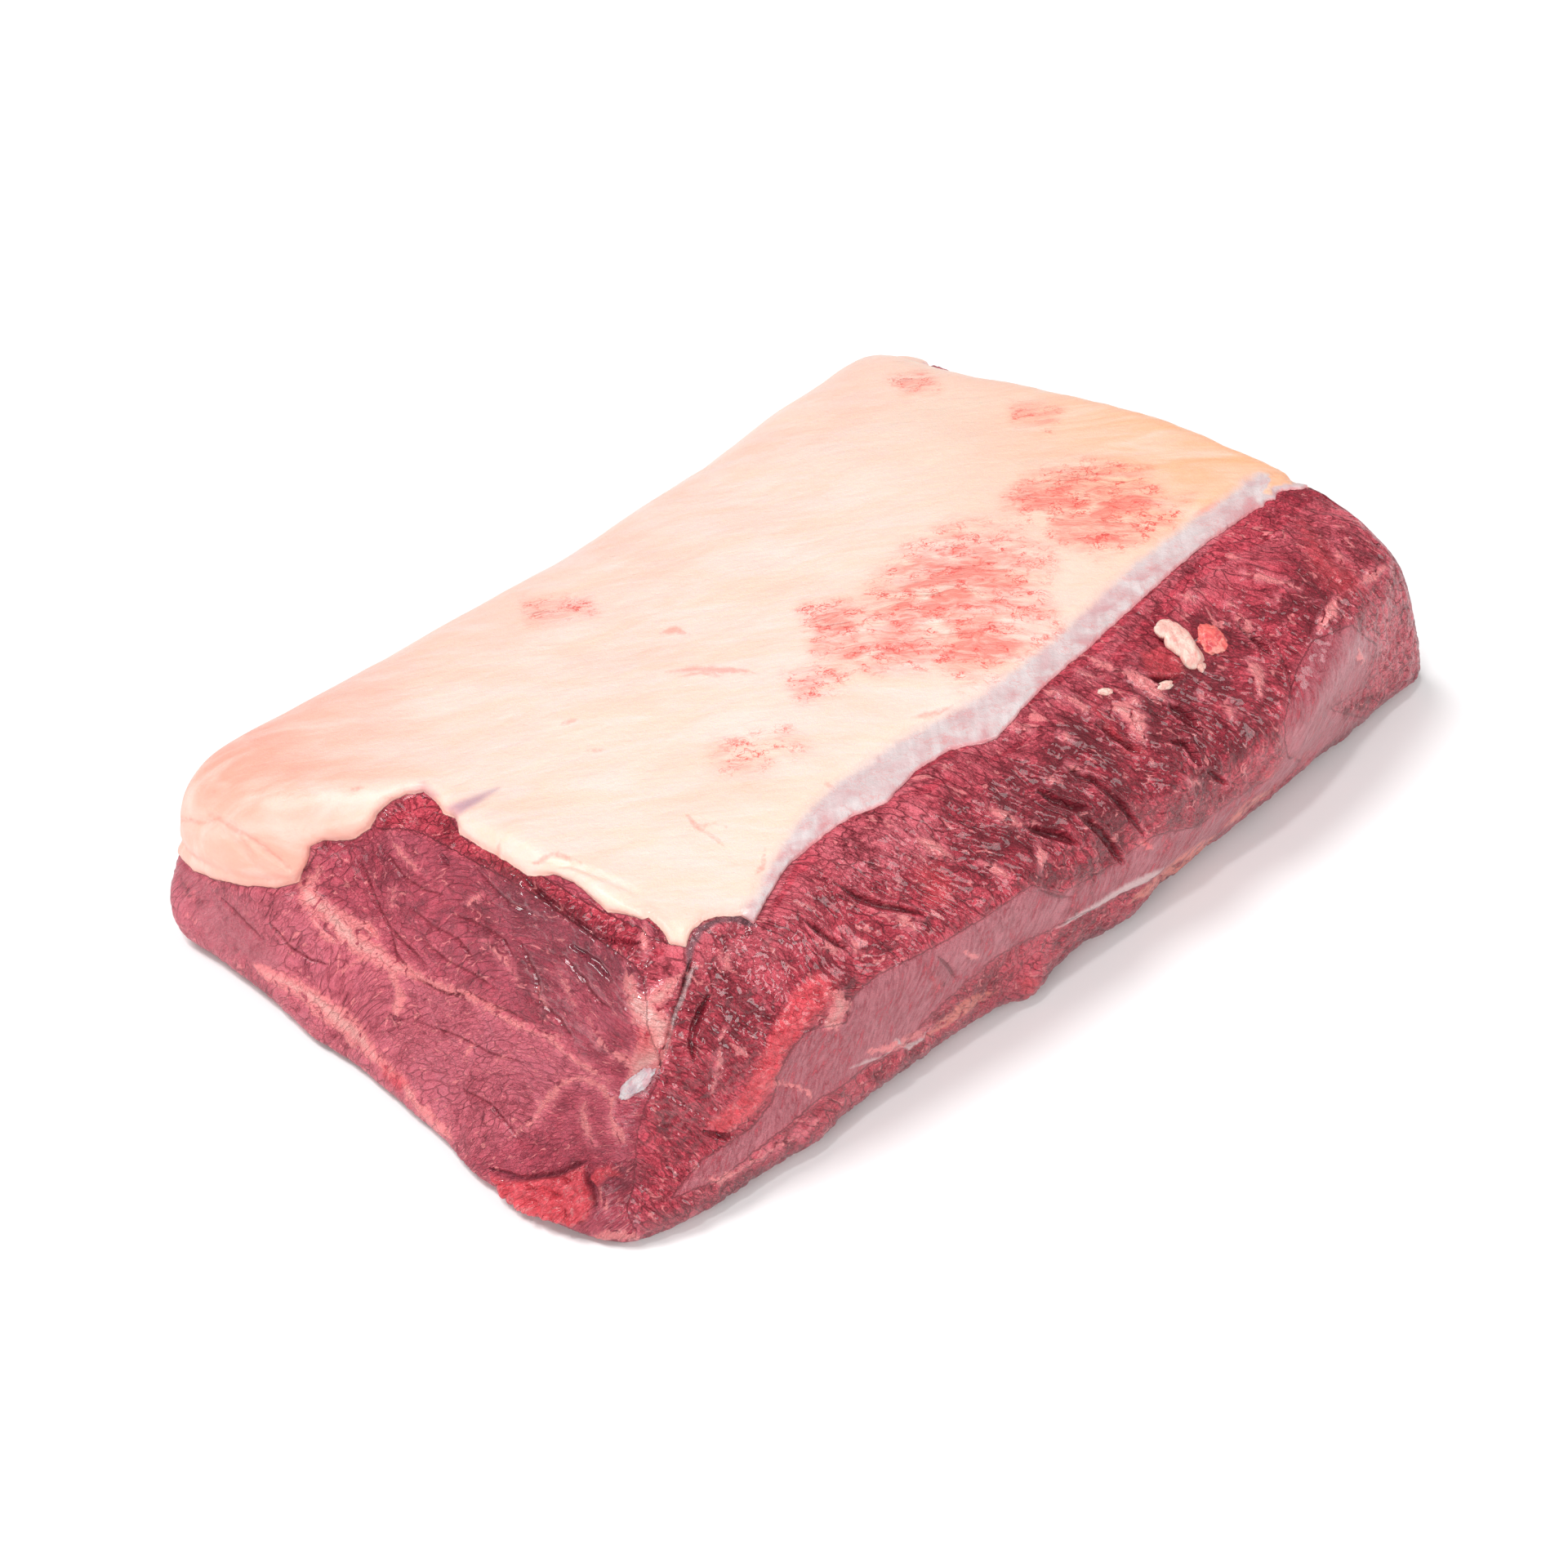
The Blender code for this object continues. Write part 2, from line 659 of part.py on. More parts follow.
def on_chine(long_offset, short_offset):
    """Points of the chine side around the fat scrap, and the directions out of it there."""
    x = FAT_SCRAP_MIDDLE[0] + FAT_SCRAP_LONG_WAY[0] * long_offset + FAT_SCRAP_SHORT_WAY[0] * short_offset
    z = FAT_SCRAP_MIDDLE[1] + FAT_SCRAP_LONG_WAY[1] * long_offset + FAT_SCRAP_SHORT_WAY[1] * short_offset
    box = np.column_stack([x, np.full(len(x), -BOX_HALF[1]), z])
    return form(box), outward(box)


def on_near_end(long_offset, short_offset):
    """Points of the near cut around the sinew tab, and the directions out of it there."""
    y = SINEW_TAB_MIDDLE[0] - long_offset
    z = SINEW_TAB_MIDDLE[1] + SINEW_TAB_RISE * long_offset + short_offset
    box = np.column_stack([np.full(len(y), -BOX_HALF[0]), y, z])
    return form(box), outward(box)


def build_scraps():
    """The scrap of fat left on the chine side and the end of sinew that stands out of the near cut."""
    scraps = (
        ("fat_scrap", on_chine, FAT_SCRAP_HALF, FAT_SCRAP_HEIGHT, SCRAP_COLOUR),
        ("sinew_tab", on_near_end, SINEW_TAB_HALF, SINEW_TAB_HEIGHT, SINEW_COLOUR),
    )
    for name, face_points, half, height, colour in scraps:
        lines = grid_lines((-1.0, 1.0, 6))
        builder, unit = gridded_box(lines, lines, [0.0, 1.0])
        place(builder, scrap_points(unit, face_points, half, height))
        yield new_object(name, builder, colour, SCRAP_ROUGHNESS)


def centre_on_origin(things):
    """Moves all pieces together, so that the origin is the middle of the box's underside."""
    points = np.array([vertex.co for thing in things for vertex in thing.data.vertices])
    low, high = points.min(axis=0), points.max(axis=0)
    shift = Vector((-(low[0] + high[0]) / 2, -(low[1] + high[1]) / 2, -low[2]))
    for thing in things:
        for vertex in thing.data.vertices:
            vertex.co += shift


def main():
    """Clears the scene and makes the loin's pieces in it."""
    for thing in list(bpy.data.objects):
        bpy.data.objects.remove(thing)
    centre_on_origin([build_lean(), build_fat_cap(), build_silverskin(), *build_scraps()])


if __name__ == "__main__":
    main()
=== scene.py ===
"""The looks of a raw beef striploin: marbled meat, fat cover, silverskin and the scraps that lie on it.

Everything is in metres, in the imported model's frame: +X runs along the loin from the near cut to the far
one, +Y from the thick chine side to the thin tail side, and +Z is up. Marks that show in the photograph
are placed by its pixels, in its 1920 x 1920 frame, through the same viewpoint that the camera has; they
then belong to the surface they fall on.
"""

import itertools
import logging
from dataclasses import dataclass, field
from enum import Enum
from math import cos, radians, sin

import bpy
import numpy as np
from mathutils import Matrix, Vector
from mathutils.bvhtree import BVHTree


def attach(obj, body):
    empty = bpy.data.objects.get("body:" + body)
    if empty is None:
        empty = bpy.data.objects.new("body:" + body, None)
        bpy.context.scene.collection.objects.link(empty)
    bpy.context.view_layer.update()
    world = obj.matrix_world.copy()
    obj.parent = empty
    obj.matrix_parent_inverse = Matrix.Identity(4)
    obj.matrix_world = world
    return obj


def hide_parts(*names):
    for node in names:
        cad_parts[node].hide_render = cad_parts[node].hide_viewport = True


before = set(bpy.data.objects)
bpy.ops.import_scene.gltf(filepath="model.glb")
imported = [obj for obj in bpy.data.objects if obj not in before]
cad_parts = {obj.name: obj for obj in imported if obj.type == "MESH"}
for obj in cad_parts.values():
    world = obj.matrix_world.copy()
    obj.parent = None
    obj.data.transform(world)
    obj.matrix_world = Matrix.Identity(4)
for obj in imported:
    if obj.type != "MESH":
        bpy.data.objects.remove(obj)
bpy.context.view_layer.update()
LOG = logging.getLogger("striploin")

Colour = tuple[float, float, float, float]
Pixels = tuple[tuple[float, float], ...]


# ------------------------------------------------------------------ numbers over many points at once
def smooth_step(low: float, high: float, value: np.ndarray) -> np.ndarray:
    """0 up to low, 1 from high on, and an S curve between them.

    Args:
        low: Where the curve leaves 0.
        high: Where it reaches 1.
        value: The numbers to read it at.

    Returns:
        One number from 0 to 1 for each value.
    """
    share = np.clip((value - low) / (high - low), 0.0, 1.0)
    return share * share * (3.0 - 2.0 * share)


def soft_noise(places: np.ndarray, seed: int = 0) -> np.ndarray:
    """Smooth gradient noise, with one cell for each unit of length.

    Args:
        places: Points, one row each.
        seed: Picks another pattern.

    Returns:
        One number from about -1 to 1 for each point.
    """
    cell = np.floor(places).astype(np.int64)
    part = places - cell
    ease = part**3 * (part * (part * 6 - 15) + 10)
    total = np.zeros(len(places))
    for corner in itertools.product((0, 1), repeat=3):
        offset = np.array(corner)
        key = ((cell + offset) * (73856093, 19349663, 83492791)).sum(axis=1) + seed * 7919
        key = ((key ^ (key >> 13)) & 0xFFFFFFFF) * 1274126177
        key ^= key >> 16
        gradient = np.stack([((key >> shift) & 1023) / 511.5 - 1 for shift in (3, 13, 23)], axis=1)
        weight = np.prod(np.where(offset, ease, 1 - ease), axis=1)
        total += weight * ((part - offset) * gradient).sum(axis=1)
    return 1.5 * total


def layered_noise(places: np.ndarray, layers: int, seed: int = 0) -> np.ndarray:
    """Soft noise with finer and fainter layers on top of it.

    Args:
        places: Points, in cells of the coarsest layer.
        layers: How many layers, each twice as fine as the one before.
        seed: Picks another pattern.

    Returns:
        One number for each point.
    """
    sizes = [2.0**layer for layer in range(layers)]
    return sum(soft_noise(places * size, seed + 31 * int(size)) / size for size in sizes)


def ridges(places: np.ndarray, seed: int = 0) -> np.ndarray:
    """Noise folded into rounded strands with narrow furrows between them, from 0 to 1."""
    return 1.0 - np.exp(-6.0 * np.abs(soft_noise(places, seed)))


def distance_to_line(points: np.ndarray, line: Pixels) -> tuple[np.ndarray, np.ndarray]:
    """How far 2-D points lie from a line of points.

    Args:
        points: The points, one row each.
        line: The line's own points.

    Returns:
        The distances, and the place along the line of each nearest spot, counted in its points.
    """
    ends = np.array(line, float)
    nearest = np.full(len(points), np.inf)
    place = np.zeros(len(points))
    for number, (start, end) in enumerate(zip(ends[:-1], ends[1:])):
        run = end - start
        share = np.clip(((points - start) @ run) / (run @ run), 0.0, 1.0)
        gap = np.linalg.norm(points - start - share[:, None] * run, axis=1)
        closer = gap < nearest
        nearest = np.where(closer, gap, nearest)
        place = np.where(closer, number + share, place)
    return nearest, place


def distance_inside(points: np.ndarray, outline: Pixels) -> np.ndarray:
    """How far 2-D points lie inside a closed outline; negative outside it."""
    gap = distance_to_line(points, (*outline, outline[0]))[0]
    inside = np.zeros(len(points), bool)
    for (x0, y0), (x1, y1) in zip(outline, (*outline[1:], outline[0])):
        if y0 == y1:
            continue
        crosses = (points[:, 1] < y0) != (points[:, 1] < y1)
        inside ^= crosses & (points[:, 0] < x0 + (points[:, 1] - y0) * (x1 - x0) / (y1 - y0))
    return np.where(inside, gap, -gap)


# ------------------------------------------------------------------ the photograph's viewpoint
@dataclass(frozen=True)
class PhotoView:
    """The viewpoint of the photograph, for the camera and for marks that are placed by its pixels."""

    lens_mm: float = 100.0
    sensor_mm: float = 36.0
    frame_px: int = 1920
    elevation_deg: float = 39.5
    azimuth_deg: float = -44.3
    aim: tuple[float, float, float] = (0.0003, 0.0152, 0.0)
    distance: float = 1.38184
    px_per_mm: float = 4.1

    def axes(self) -> np.ndarray:
        """The view's right, up and backward directions, as rows."""
        turn, rise = radians(self.azimuth_deg), radians(self.elevation_deg)
        right = np.array([cos(turn), sin(turn), 0.0])
        back = np.array([sin(turn) * cos(rise), -cos(turn) * cos(rise), sin(rise)])
        return np.array([right, np.cross(back, right), back])

    def eye(self) -> np.ndarray:
        """Where the camera stands."""
        return np.array(self.aim) + self.axes()[2] * self.distance

    def pixels(self, points: np.ndarray) -> np.ndarray:
        """The photograph's pixel of each point, one row each."""
        right, up, back = ((points - self.eye()) @ self.axes().T).T
        scale = self.lens_mm / self.sensor_mm * self.frame_px
        half = self.frame_px / 2
        return np.column_stack([half - scale * right / back, half + scale * up / back])

    def add_camera(self) -> bpy.types.Object:
        """Adds the scene's camera.

        Returns:
            The camera object.
        """
        data = bpy.data.cameras.new("camera")
        data.lens, data.sensor_width = self.lens_mm, self.sensor_mm
        camera = bpy.data.objects.new("camera", data)
        bpy.context.scene.collection.objects.link(camera)
        camera.matrix_world = Matrix.Translation(self.eye()) @ Matrix(self.axes().T.tolist()).to_4x4()
        bpy.context.scene.camera = camera
        return camera


VIEW = PhotoView()


def within_reach(pixels: np.ndarray, line: Pixels, reach: float) -> np.ndarray:
    """Whether each pixel place lies in the box around a line, with reach to spare."""
    low, high = np.min(line, axis=0) - reach, np.max(line, axis=0) + reach
    return ((pixels > low) & (pixels < high)).all(axis=1)


@dataclass(frozen=True)
class Streak:
    """A streak through pixels of the photograph, with its half width there, in pixels."""

    points: Pixels
    half_width: float | tuple[float, ...] = 3.0
    reach: float = 40.0

    def depth(self, pixels: np.ndarray) -> np.ndarray:
        """How far inside the streak each pixel place lies, in pixels; minus its reach far from it."""
        depth = np.full(len(pixels), -self.reach)
        close = within_reach(pixels, self.points, self.reach)
        depth[close] = np.maximum(self._depth_close(pixels[close]), -self.reach)
        return depth

    def _depth_close(self, pixels: np.ndarray) -> np.ndarray:
        """The depth of places close to the streak."""
        gap, place = distance_to_line(pixels, self.points)
        widths = np.broadcast_to(self.half_width, len(self.points))
        width = np.interp(place, range(len(self.points)), widths)
        ends = np.minimum(place, len(self.points) - 1 - place)
        return width * (0.25 + 0.75 * smooth_step(0.0, 0.6, ends)) - gap


def deepest(pixels: np.ndarray, streaks: tuple[Streak, ...]) -> np.ndarray:
    """How far inside the nearest of several streaks each pixel place lies, in millimetres."""
    return np.maximum.reduce([streak.depth(pixels) for streak in streaks]) / VIEW.px_per_mm


@dataclass(frozen=True)
class Patch:
    """An area outlined by pixels of the photograph, and how softly it ends, in pixels."""

    outline: Pixels
    softness: float = 10.0

    def mask(self, pixels: np.ndarray) -> np.ndarray:
        """1 well inside the patch and 0 outside it."""
        mask = np.zeros(len(pixels))
        close = within_reach(pixels, self.outline, self.softness)
        inside = distance_inside(pixels[close], self.outline)
        mask[close] = smooth_step(-self.softness, self.softness, inside)
        return mask


def cover(pixels: np.ndarray, patches: tuple[Patch, ...]) -> np.ndarray:
    """The strongest mask of several patches."""
    return np.maximum.reduce([patch.mask(pixels) for patch in patches])


def streaks(*rows: tuple) -> tuple[Streak, ...]:
    """Streaks from rows of their points and half widths."""
    return tuple(Streak(*row) for row in rows)


def patches(*rows: tuple) -> tuple[Patch, ...]:
    """Patches from rows of their outlines and softnesses."""
    return tuple(Patch(*row) for row in rows)


# ------------------------------------------------------------------ where things are in the photograph
FAT_NEAR_BORDER: Pixels = (
    (180, 1035), (216, 1047), (234, 1065), (263, 1078), (301, 1085), (339, 1087), (366, 1080),
    (375, 1059), (381, 1038), (398, 1029), (419, 1030), (434, 1027), (453, 1015), (463, 996),
    (478, 983), (499, 973), (518, 970), (532, 981), (543, 996), (556, 1002), (562, 1021),
    (579, 1032), (598, 1042), (621, 1055), (646, 1072), (676, 1071), (701, 1080), (726, 1101),
    (743, 1118), (768, 1120), (785, 1126), (793, 1122), (808, 1135), (819, 1157), (841, 1160),
    (846, 1142), (862, 1126), (886, 1120), (905, 1122),
)  # fmt: skip
SKIN_INNER_BORDER: Pixels = (
    (905, 1122), (925, 1100), (939, 1068), (983, 1001), (1016, 969), (1087, 917), (1137, 889),
    (1202, 853), (1246, 818), (1290, 786), (1329, 748), (1383, 697), (1455, 642), (1510, 604),
    (1547, 571),
)  # fmt: skip
SKIN_OUTER_BORDER: Pixels = (
    (923, 1131), (931, 1117), (946, 1089), (967, 1058), (1010, 1021), (1043, 999), (1087, 982),
    (1120, 945), (1164, 917), (1213, 908), (1222, 905), (1252, 867), (1285, 834), (1329, 796),
    (1383, 747), (1438, 697), (1493, 653), (1548, 615), (1590, 582),
)  # fmt: skip
FAR_AROUND: Pixels = ((1640, 490), (1300, 150), (40, 700), (60, 1000))
FAT_OUTLINE: Pixels = (*FAT_NEAR_BORDER, *SKIN_INNER_BORDER[1:], *FAR_AROUND)
FAT_AND_SKIN_OUTLINE: Pixels = (*FAT_NEAR_BORDER, *SKIN_OUTER_BORDER, *FAR_AROUND)

RIDGE: Pixels = (
    (946, 1351), (952, 1319), (967, 1290), (987, 1263), (1037, 1252), (1043, 1222), (1075, 1193),
    (1119, 1172), (1160, 1151), (1205, 1123), (1263, 1084), (1302, 1094), (1338, 1074), (1370, 1053),
    (1413, 1023), (1468, 1011), (1508, 981), (1555, 954), (1575, 926),
)  # fmt: skip
FILM_FOOT: Pixels = (
    (1595, 934), (1539, 981), (1496, 1021), (1452, 1052), (1381, 1092), (1298, 1131), (1219, 1171),
    (1150, 1232), (1113, 1272), (1069, 1301), (996, 1351), (937, 1401), (879, 1445), (820, 1469),
    (860, 1420), (917, 1384),
)  # fmt: skip
FILM = Patch((*RIDGE, *FILM_FOOT), softness=5.0)
FAR_FILM = Patch(
    ((1575, 926), (1571, 885), (1587, 819), (1607, 784), (1655, 764), (1686, 790), (1672, 839),
     (1630, 868), (1676, 880), (1630, 914), (1595, 934)),
    softness=12.0,
)  # fmt: skip
CORNER_MUSCLE = Patch(
    ((845, 1160), (880, 1135), (923, 1131), (975, 1140), (992, 1165), (975, 1200), (955, 1240),
     (935, 1290), (905, 1330), (870, 1392), (800, 1345), (815, 1275), (832, 1220)),
    softness=9.0,
)  # fmt: skip
LOWER_MUSCLE = Patch(
    ((200, 1060), (366, 1085), (419, 1135), (478, 1185), (579, 1226), (671, 1272), (764, 1341),
     (700, 1330), (625, 1394), (560, 1420), (480, 1360), (330, 1230), (200, 1140)),
    softness=8.0,
)  # fmt: skip
LEFT_FILM = Patch(((216, 1060), (262, 1085), (300, 1110), (345, 1180), (330, 1200), (250, 1150)), 14.0)
RED_STRIP = Patch(
    ((1003, 1190), (1018, 1215), (985, 1262), (962, 1292), (946, 1330), (925, 1362), (885, 1388),
     (866, 1376), (905, 1345), (925, 1310), (945, 1262), (972, 1215)),
    softness=5.0,
)  # fmt: skip
TORN_FLAP = Patch(
    ((600, 1438), (625, 1447), (684, 1440), (716, 1427), (722, 1455), (728, 1472), (719, 1494),
     (700, 1500), (640, 1480), (618, 1462)),
    softness=4.0,
)  # fmt: skip
TORN_LUMP = Patch(((722, 1444), (731, 1432), (748, 1425), (762, 1440), (745, 1440), (731, 1452)), 4.0)

NEAR_CUT_FAT = streaks(
    (
        ((368, 1080), (381, 1101), (398, 1114), (419, 1135), (436, 1156), (461, 1168), (478, 1181),
         (511, 1194), (545, 1210), (579, 1223), (612, 1244), (646, 1261), (671, 1269), (705, 1299),
         (747, 1324)),
        (9, 13, 11, 15, 13, 11, 9, 6, 4, 4, 3, 3, 5, 3, 2.4),
    ),
    (((478, 1181), (486, 1206), (490, 1223), (486, 1240), (484, 1254)), (6, 5, 5, 6, 7)),
    (((395, 1052), (388, 1072), (372, 1084)), (3, 4, 6)),
    (((430, 1128), (452, 1135), (462, 1152)), (5, 6, 4)),
    (((372, 1112), (396, 1142), (418, 1160)), (4, 5, 3)),
    (((640, 1000), (626, 1012)), 1.5),
    (((461, 1168), (436, 1177), (419, 1189)), (4, 3, 2.5)),
    (((398, 1114), (425, 1120), (440, 1140)), (4, 3, 2)),
    (
        ((309, 1181), (330, 1194), (360, 1206), (385, 1223), (410, 1244), (436, 1265), (453, 1286),
         (469, 1303), (495, 1324)),
        (5, 8, 10, 12, 14, 12, 8, 6, 4),
    ),
    (((420, 1262), (432, 1280), (452, 1290)), (3, 4, 2.5)),
    (((495, 1328), (511, 1349), (532, 1374), (553, 1395)), (7, 6, 5, 3)),
    (((579, 1278), (570, 1294)), 3.4),
    (((621, 1290), (608, 1299)), 3.0),
    (((478, 1021), (495, 1050), (511, 1063)), 2.0),
    (((482, 1088), (480, 1109)), 2.0),
    (((572, 1108), (588, 1098)), 2.8),
    (((591, 1151), (617, 1172), (633, 1198)), (2, 3.2, 2)),
    (((655, 1206), (671, 1244)), 2.0),
    (((684, 1189), (705, 1231)), 2.0),
    (((789, 1130), (789, 1150), (789, 1172)), (3, 5, 3)),
    (((722, 1248), (735, 1278), (760, 1295), (777, 1307)), (3, 4, 5, 5)),
    (((768, 1181), (773, 1215), (790, 1240), (806, 1255), (796, 1290), (768, 1325)), (4, 8, 18, 17, 19, 9)),
    (((790, 1235), (815, 1212), (836, 1192)), (14, 10, 4)),
    (((710, 1318), (687, 1329), (666, 1353), (657, 1370), (640, 1382), (625, 1394)), (3, 3, 4, 4, 2.5, 2)),
    (((710, 1318), (734, 1329), (751, 1347), (748, 1365), (754, 1382), (763, 1397)), (3, 3, 4, 3, 4, 4)),
    (((716, 1350), (713, 1370), (719, 1385), (728, 1403)), (3, 3.4, 2.6, 2)),
    (((734, 1455), (742, 1479)), 4.0),
    (((851, 1426), (860, 1441), (877, 1445), (907, 1432), (951, 1406), (1000, 1373)), (2, 3, 2.5, 2, 2, 1.6)),
    (((924, 1332), (945, 1326), (965, 1328), (989, 1335), (995, 1347)), (4, 5, 2.5, 2.2, 2.2)),
    (((885, 1262), (880, 1300), (872, 1340)), (2.5, 3, 2)),
    (((893, 1160), (889, 1185)), (3, 3)),
    (((722, 1519), (745, 1513), (769, 1512), (781, 1515)), (3, 6, 5, 3)),
)  # fmt: skip
CHINE_FAT = streaks(
    (((1210, 988), (1230, 1000), (1250, 1012)), (3, 6, 3)),
    (((1096, 1118), (1110, 1128), (1126, 1142)), (3, 7, 4)),
    (((998, 1154), (1014, 1160), (1030, 1168)), (2, 4, 2)),
    (((1114, 1026), (1140, 1036), (1168, 1052)), (3, 8, 3)),
    (((1200, 1056), (1218, 1064), (1235, 1074)), (3, 4, 3)),
    (((1355, 868), (1376, 868), (1392, 884), (1400, 906)), (4, 9, 10, 5)),
    (((1277, 843), (1298, 850), (1320, 860), (1335, 877)), (2, 2.6, 4, 4)),
    (((1320, 823), (1345, 830)), 2.4),
    (((1368, 823), (1388, 828), (1404, 842), (1432, 862)), (4, 5, 6, 3)),
    (((1385, 856), (1392, 860)), 5.0),
    (((1297, 898), (1312, 904)), 4.5),
    (((1306, 937), (1324, 944)), 5.0),
    (((1280, 952), (1296, 958)), 3.4),
    (((1240, 888), (1262, 895)), 2.0),
    (((1520, 702), (1555, 710), (1590, 720)), (2.5, 4, 3)),
    (((1554, 730), (1572, 737)), 3.5),
    (((1534, 822), (1540, 840)), 5.0),
    (((1640, 728), (1628, 750), (1614, 774)), (4, 8, 4)),
    (((1636, 668), (1646, 690)), 4.5),
    (((1675, 642), (1690, 655), (1699, 668)), (2, 3.4, 2)),
    (((1700, 692), (1682, 704), (1662, 716)), (3, 5, 3)),
    (((1664, 794), (1667, 814)), 4.0),
    (((1500, 738), (1512, 744)), 3.0),
    (((1455, 955), (1468, 961)), 4.0),
    (((1399, 1032), (1412, 1040)), 4.0),
    (((1000, 1218), (1020, 1214), (1030, 1232), (1020, 1252), (1004, 1258)), (4, 7, 11, 9, 5)),
    (((1180, 1165), (1196, 1172)), 2.4),
    (((1272, 1035), (1278, 1050), (1276, 1066)), (3, 5, 3)),
    (((1042, 1150), (1048, 1166)), 3.5),
    (((1526, 808), (1538, 822), (1542, 852)), (4, 7, 4)),
    (((1502, 860), (1508, 878)), (5, 4)),
    (((1512, 752), (1526, 764), (1530, 776)), (3, 6, 3)),
    (((1466, 850), (1478, 856)), 3.0),
    (((1446, 728), (1462, 736)), 3.0),
    (((1330, 800), (1348, 812), (1368, 820)), (2, 3.4, 3)),
    (((1090, 1280), (1107, 1279)), (5, 5)),
    (((1060, 1290), (1090, 1282), (1118, 1270), (1140, 1260)), (2, 5, 3, 3)),
)  # fmt: skip
SINEW_LINES = streaks(
    (((850, 1178), (843, 1205), (836, 1224), (825, 1250), (819, 1276), (810, 1300)), 1.6),
    (((1424, 1062), (1400, 1077), (1370, 1091), (1333, 1114), (1293, 1136)), (2, 4, 3.4, 2.6, 1.4)),
    (((1083, 1293), (1097, 1274), (1113, 1283), (1137, 1263)), (2.4, 2.4, 3, 2)),
    (((1040, 1307), (1083, 1293)), 1.8),
)
OCHRE_LINES = streaks(
    (((1136, 1270), (1160, 1250), (1186, 1229), (1221, 1213)), (4, 6, 7, 3)),
    (((1380, 1109), (1412, 1084), (1439, 1062), (1465, 1043), (1489, 1024)), (3, 6, 7, 8, 4)),
    (((1199, 1245), (1236, 1226)), 3.0),
    (((1500, 1012), (1530, 985), (1560, 965)), (4, 4, 2)),
)
BLOOD_PATCHES = patches(
    (((1122, 1066), (1150, 1060), (1168, 1085), (1160, 1108), (1136, 1104)), 12.0),
    (((1000, 1196), (1022, 1200), (1018, 1230), (990, 1252), (980, 1230)), 8.0),
    (((1340, 866), (1352, 880), (1378, 912), (1400, 918), (1404, 922), (1376, 922)), 7.0),
    (((1546, 948), (1564, 940), (1560, 966)), 8.0),
    (((780, 1262), (800, 1262), (804, 1286), (786, 1294)), 9.0),
    (((1594, 640), (1640, 690), (1668, 720), (1640, 725), (1604, 690)), 16.0),
    (((1420, 806), (1446, 812), (1440, 832), (1408, 826)), 6.0),
    (((466, 1300), (500, 1325), (490, 1336), (470, 1318)), 6.0),
    (((1248, 1205), (1262, 1196), (1280, 1205), (1278, 1222), (1258, 1228)), 5.0),
    (((1398, 800), (1420, 792), (1446, 806), (1448, 826), (1420, 831), (1402, 822)), 5.0),
    (((1140, 1196), (1149, 1197), (1150, 1210), (1142, 1212)), 4.0),
    (((1398, 1028), (1412, 1026), (1414, 1040), (1402, 1042)), 4.0),
    (((1590, 925), (1604, 920), (1600, 938)), 5.0),
)
CHINE_DARK = patches(
    (
        ((1150, 960), (1290, 870), (1480, 740), (1570, 820), (1560, 900), (1430, 990), (1290, 1080), (1180, 1090)),
        50.0,
    ),
    (((1600, 640), (1680, 690), (1690, 760), (1610, 800), (1560, 760)), 30.0),
)
SLASHES = streaks(
    (((1022, 1080), (1050, 1098), (1078, 1109), (1104, 1114), (1130, 1120)), (2, 3, 3.4, 3, 2)),
    (((988, 1128), (1012, 1147), (1035, 1162)), 3.0),
    (((1254, 1012), (1279, 1019), (1302, 1025), (1318, 1033)), (3, 4.4, 5, 3)),
    (((1273, 968), (1292, 980), (1314, 988), (1332, 989)), (3, 4, 4, 2)),
    (((1321, 998), (1346, 1017), (1359, 1033), (1372, 1055)), (3, 4.4, 4.4, 3)),
    (((1305, 937), (1321, 950), (1340, 956), (1359, 972), (1375, 988), (1398, 1020)), (2, 2.6, 2.4, 2.6, 2.6, 2)),
    (((1343, 887), (1362, 902), (1382, 914), (1398, 921)), (2, 3.4, 3.4, 2.4)),
    (((1432, 863), (1449, 876), (1468, 894)), (4, 5.4, 4)),
    (((1433, 908), (1452, 910), (1462, 927), (1468, 936)), (2, 2.6, 2.6, 2)),
    (((1480, 944), (1500, 959)), 3.0),
    (((1404, 829), (1424, 835), (1444, 829)), (2, 3.4, 2)),
    (((1516, 764), (1538, 784), (1562, 805)), (2, 3, 2.4)),
)  # fmt: skip
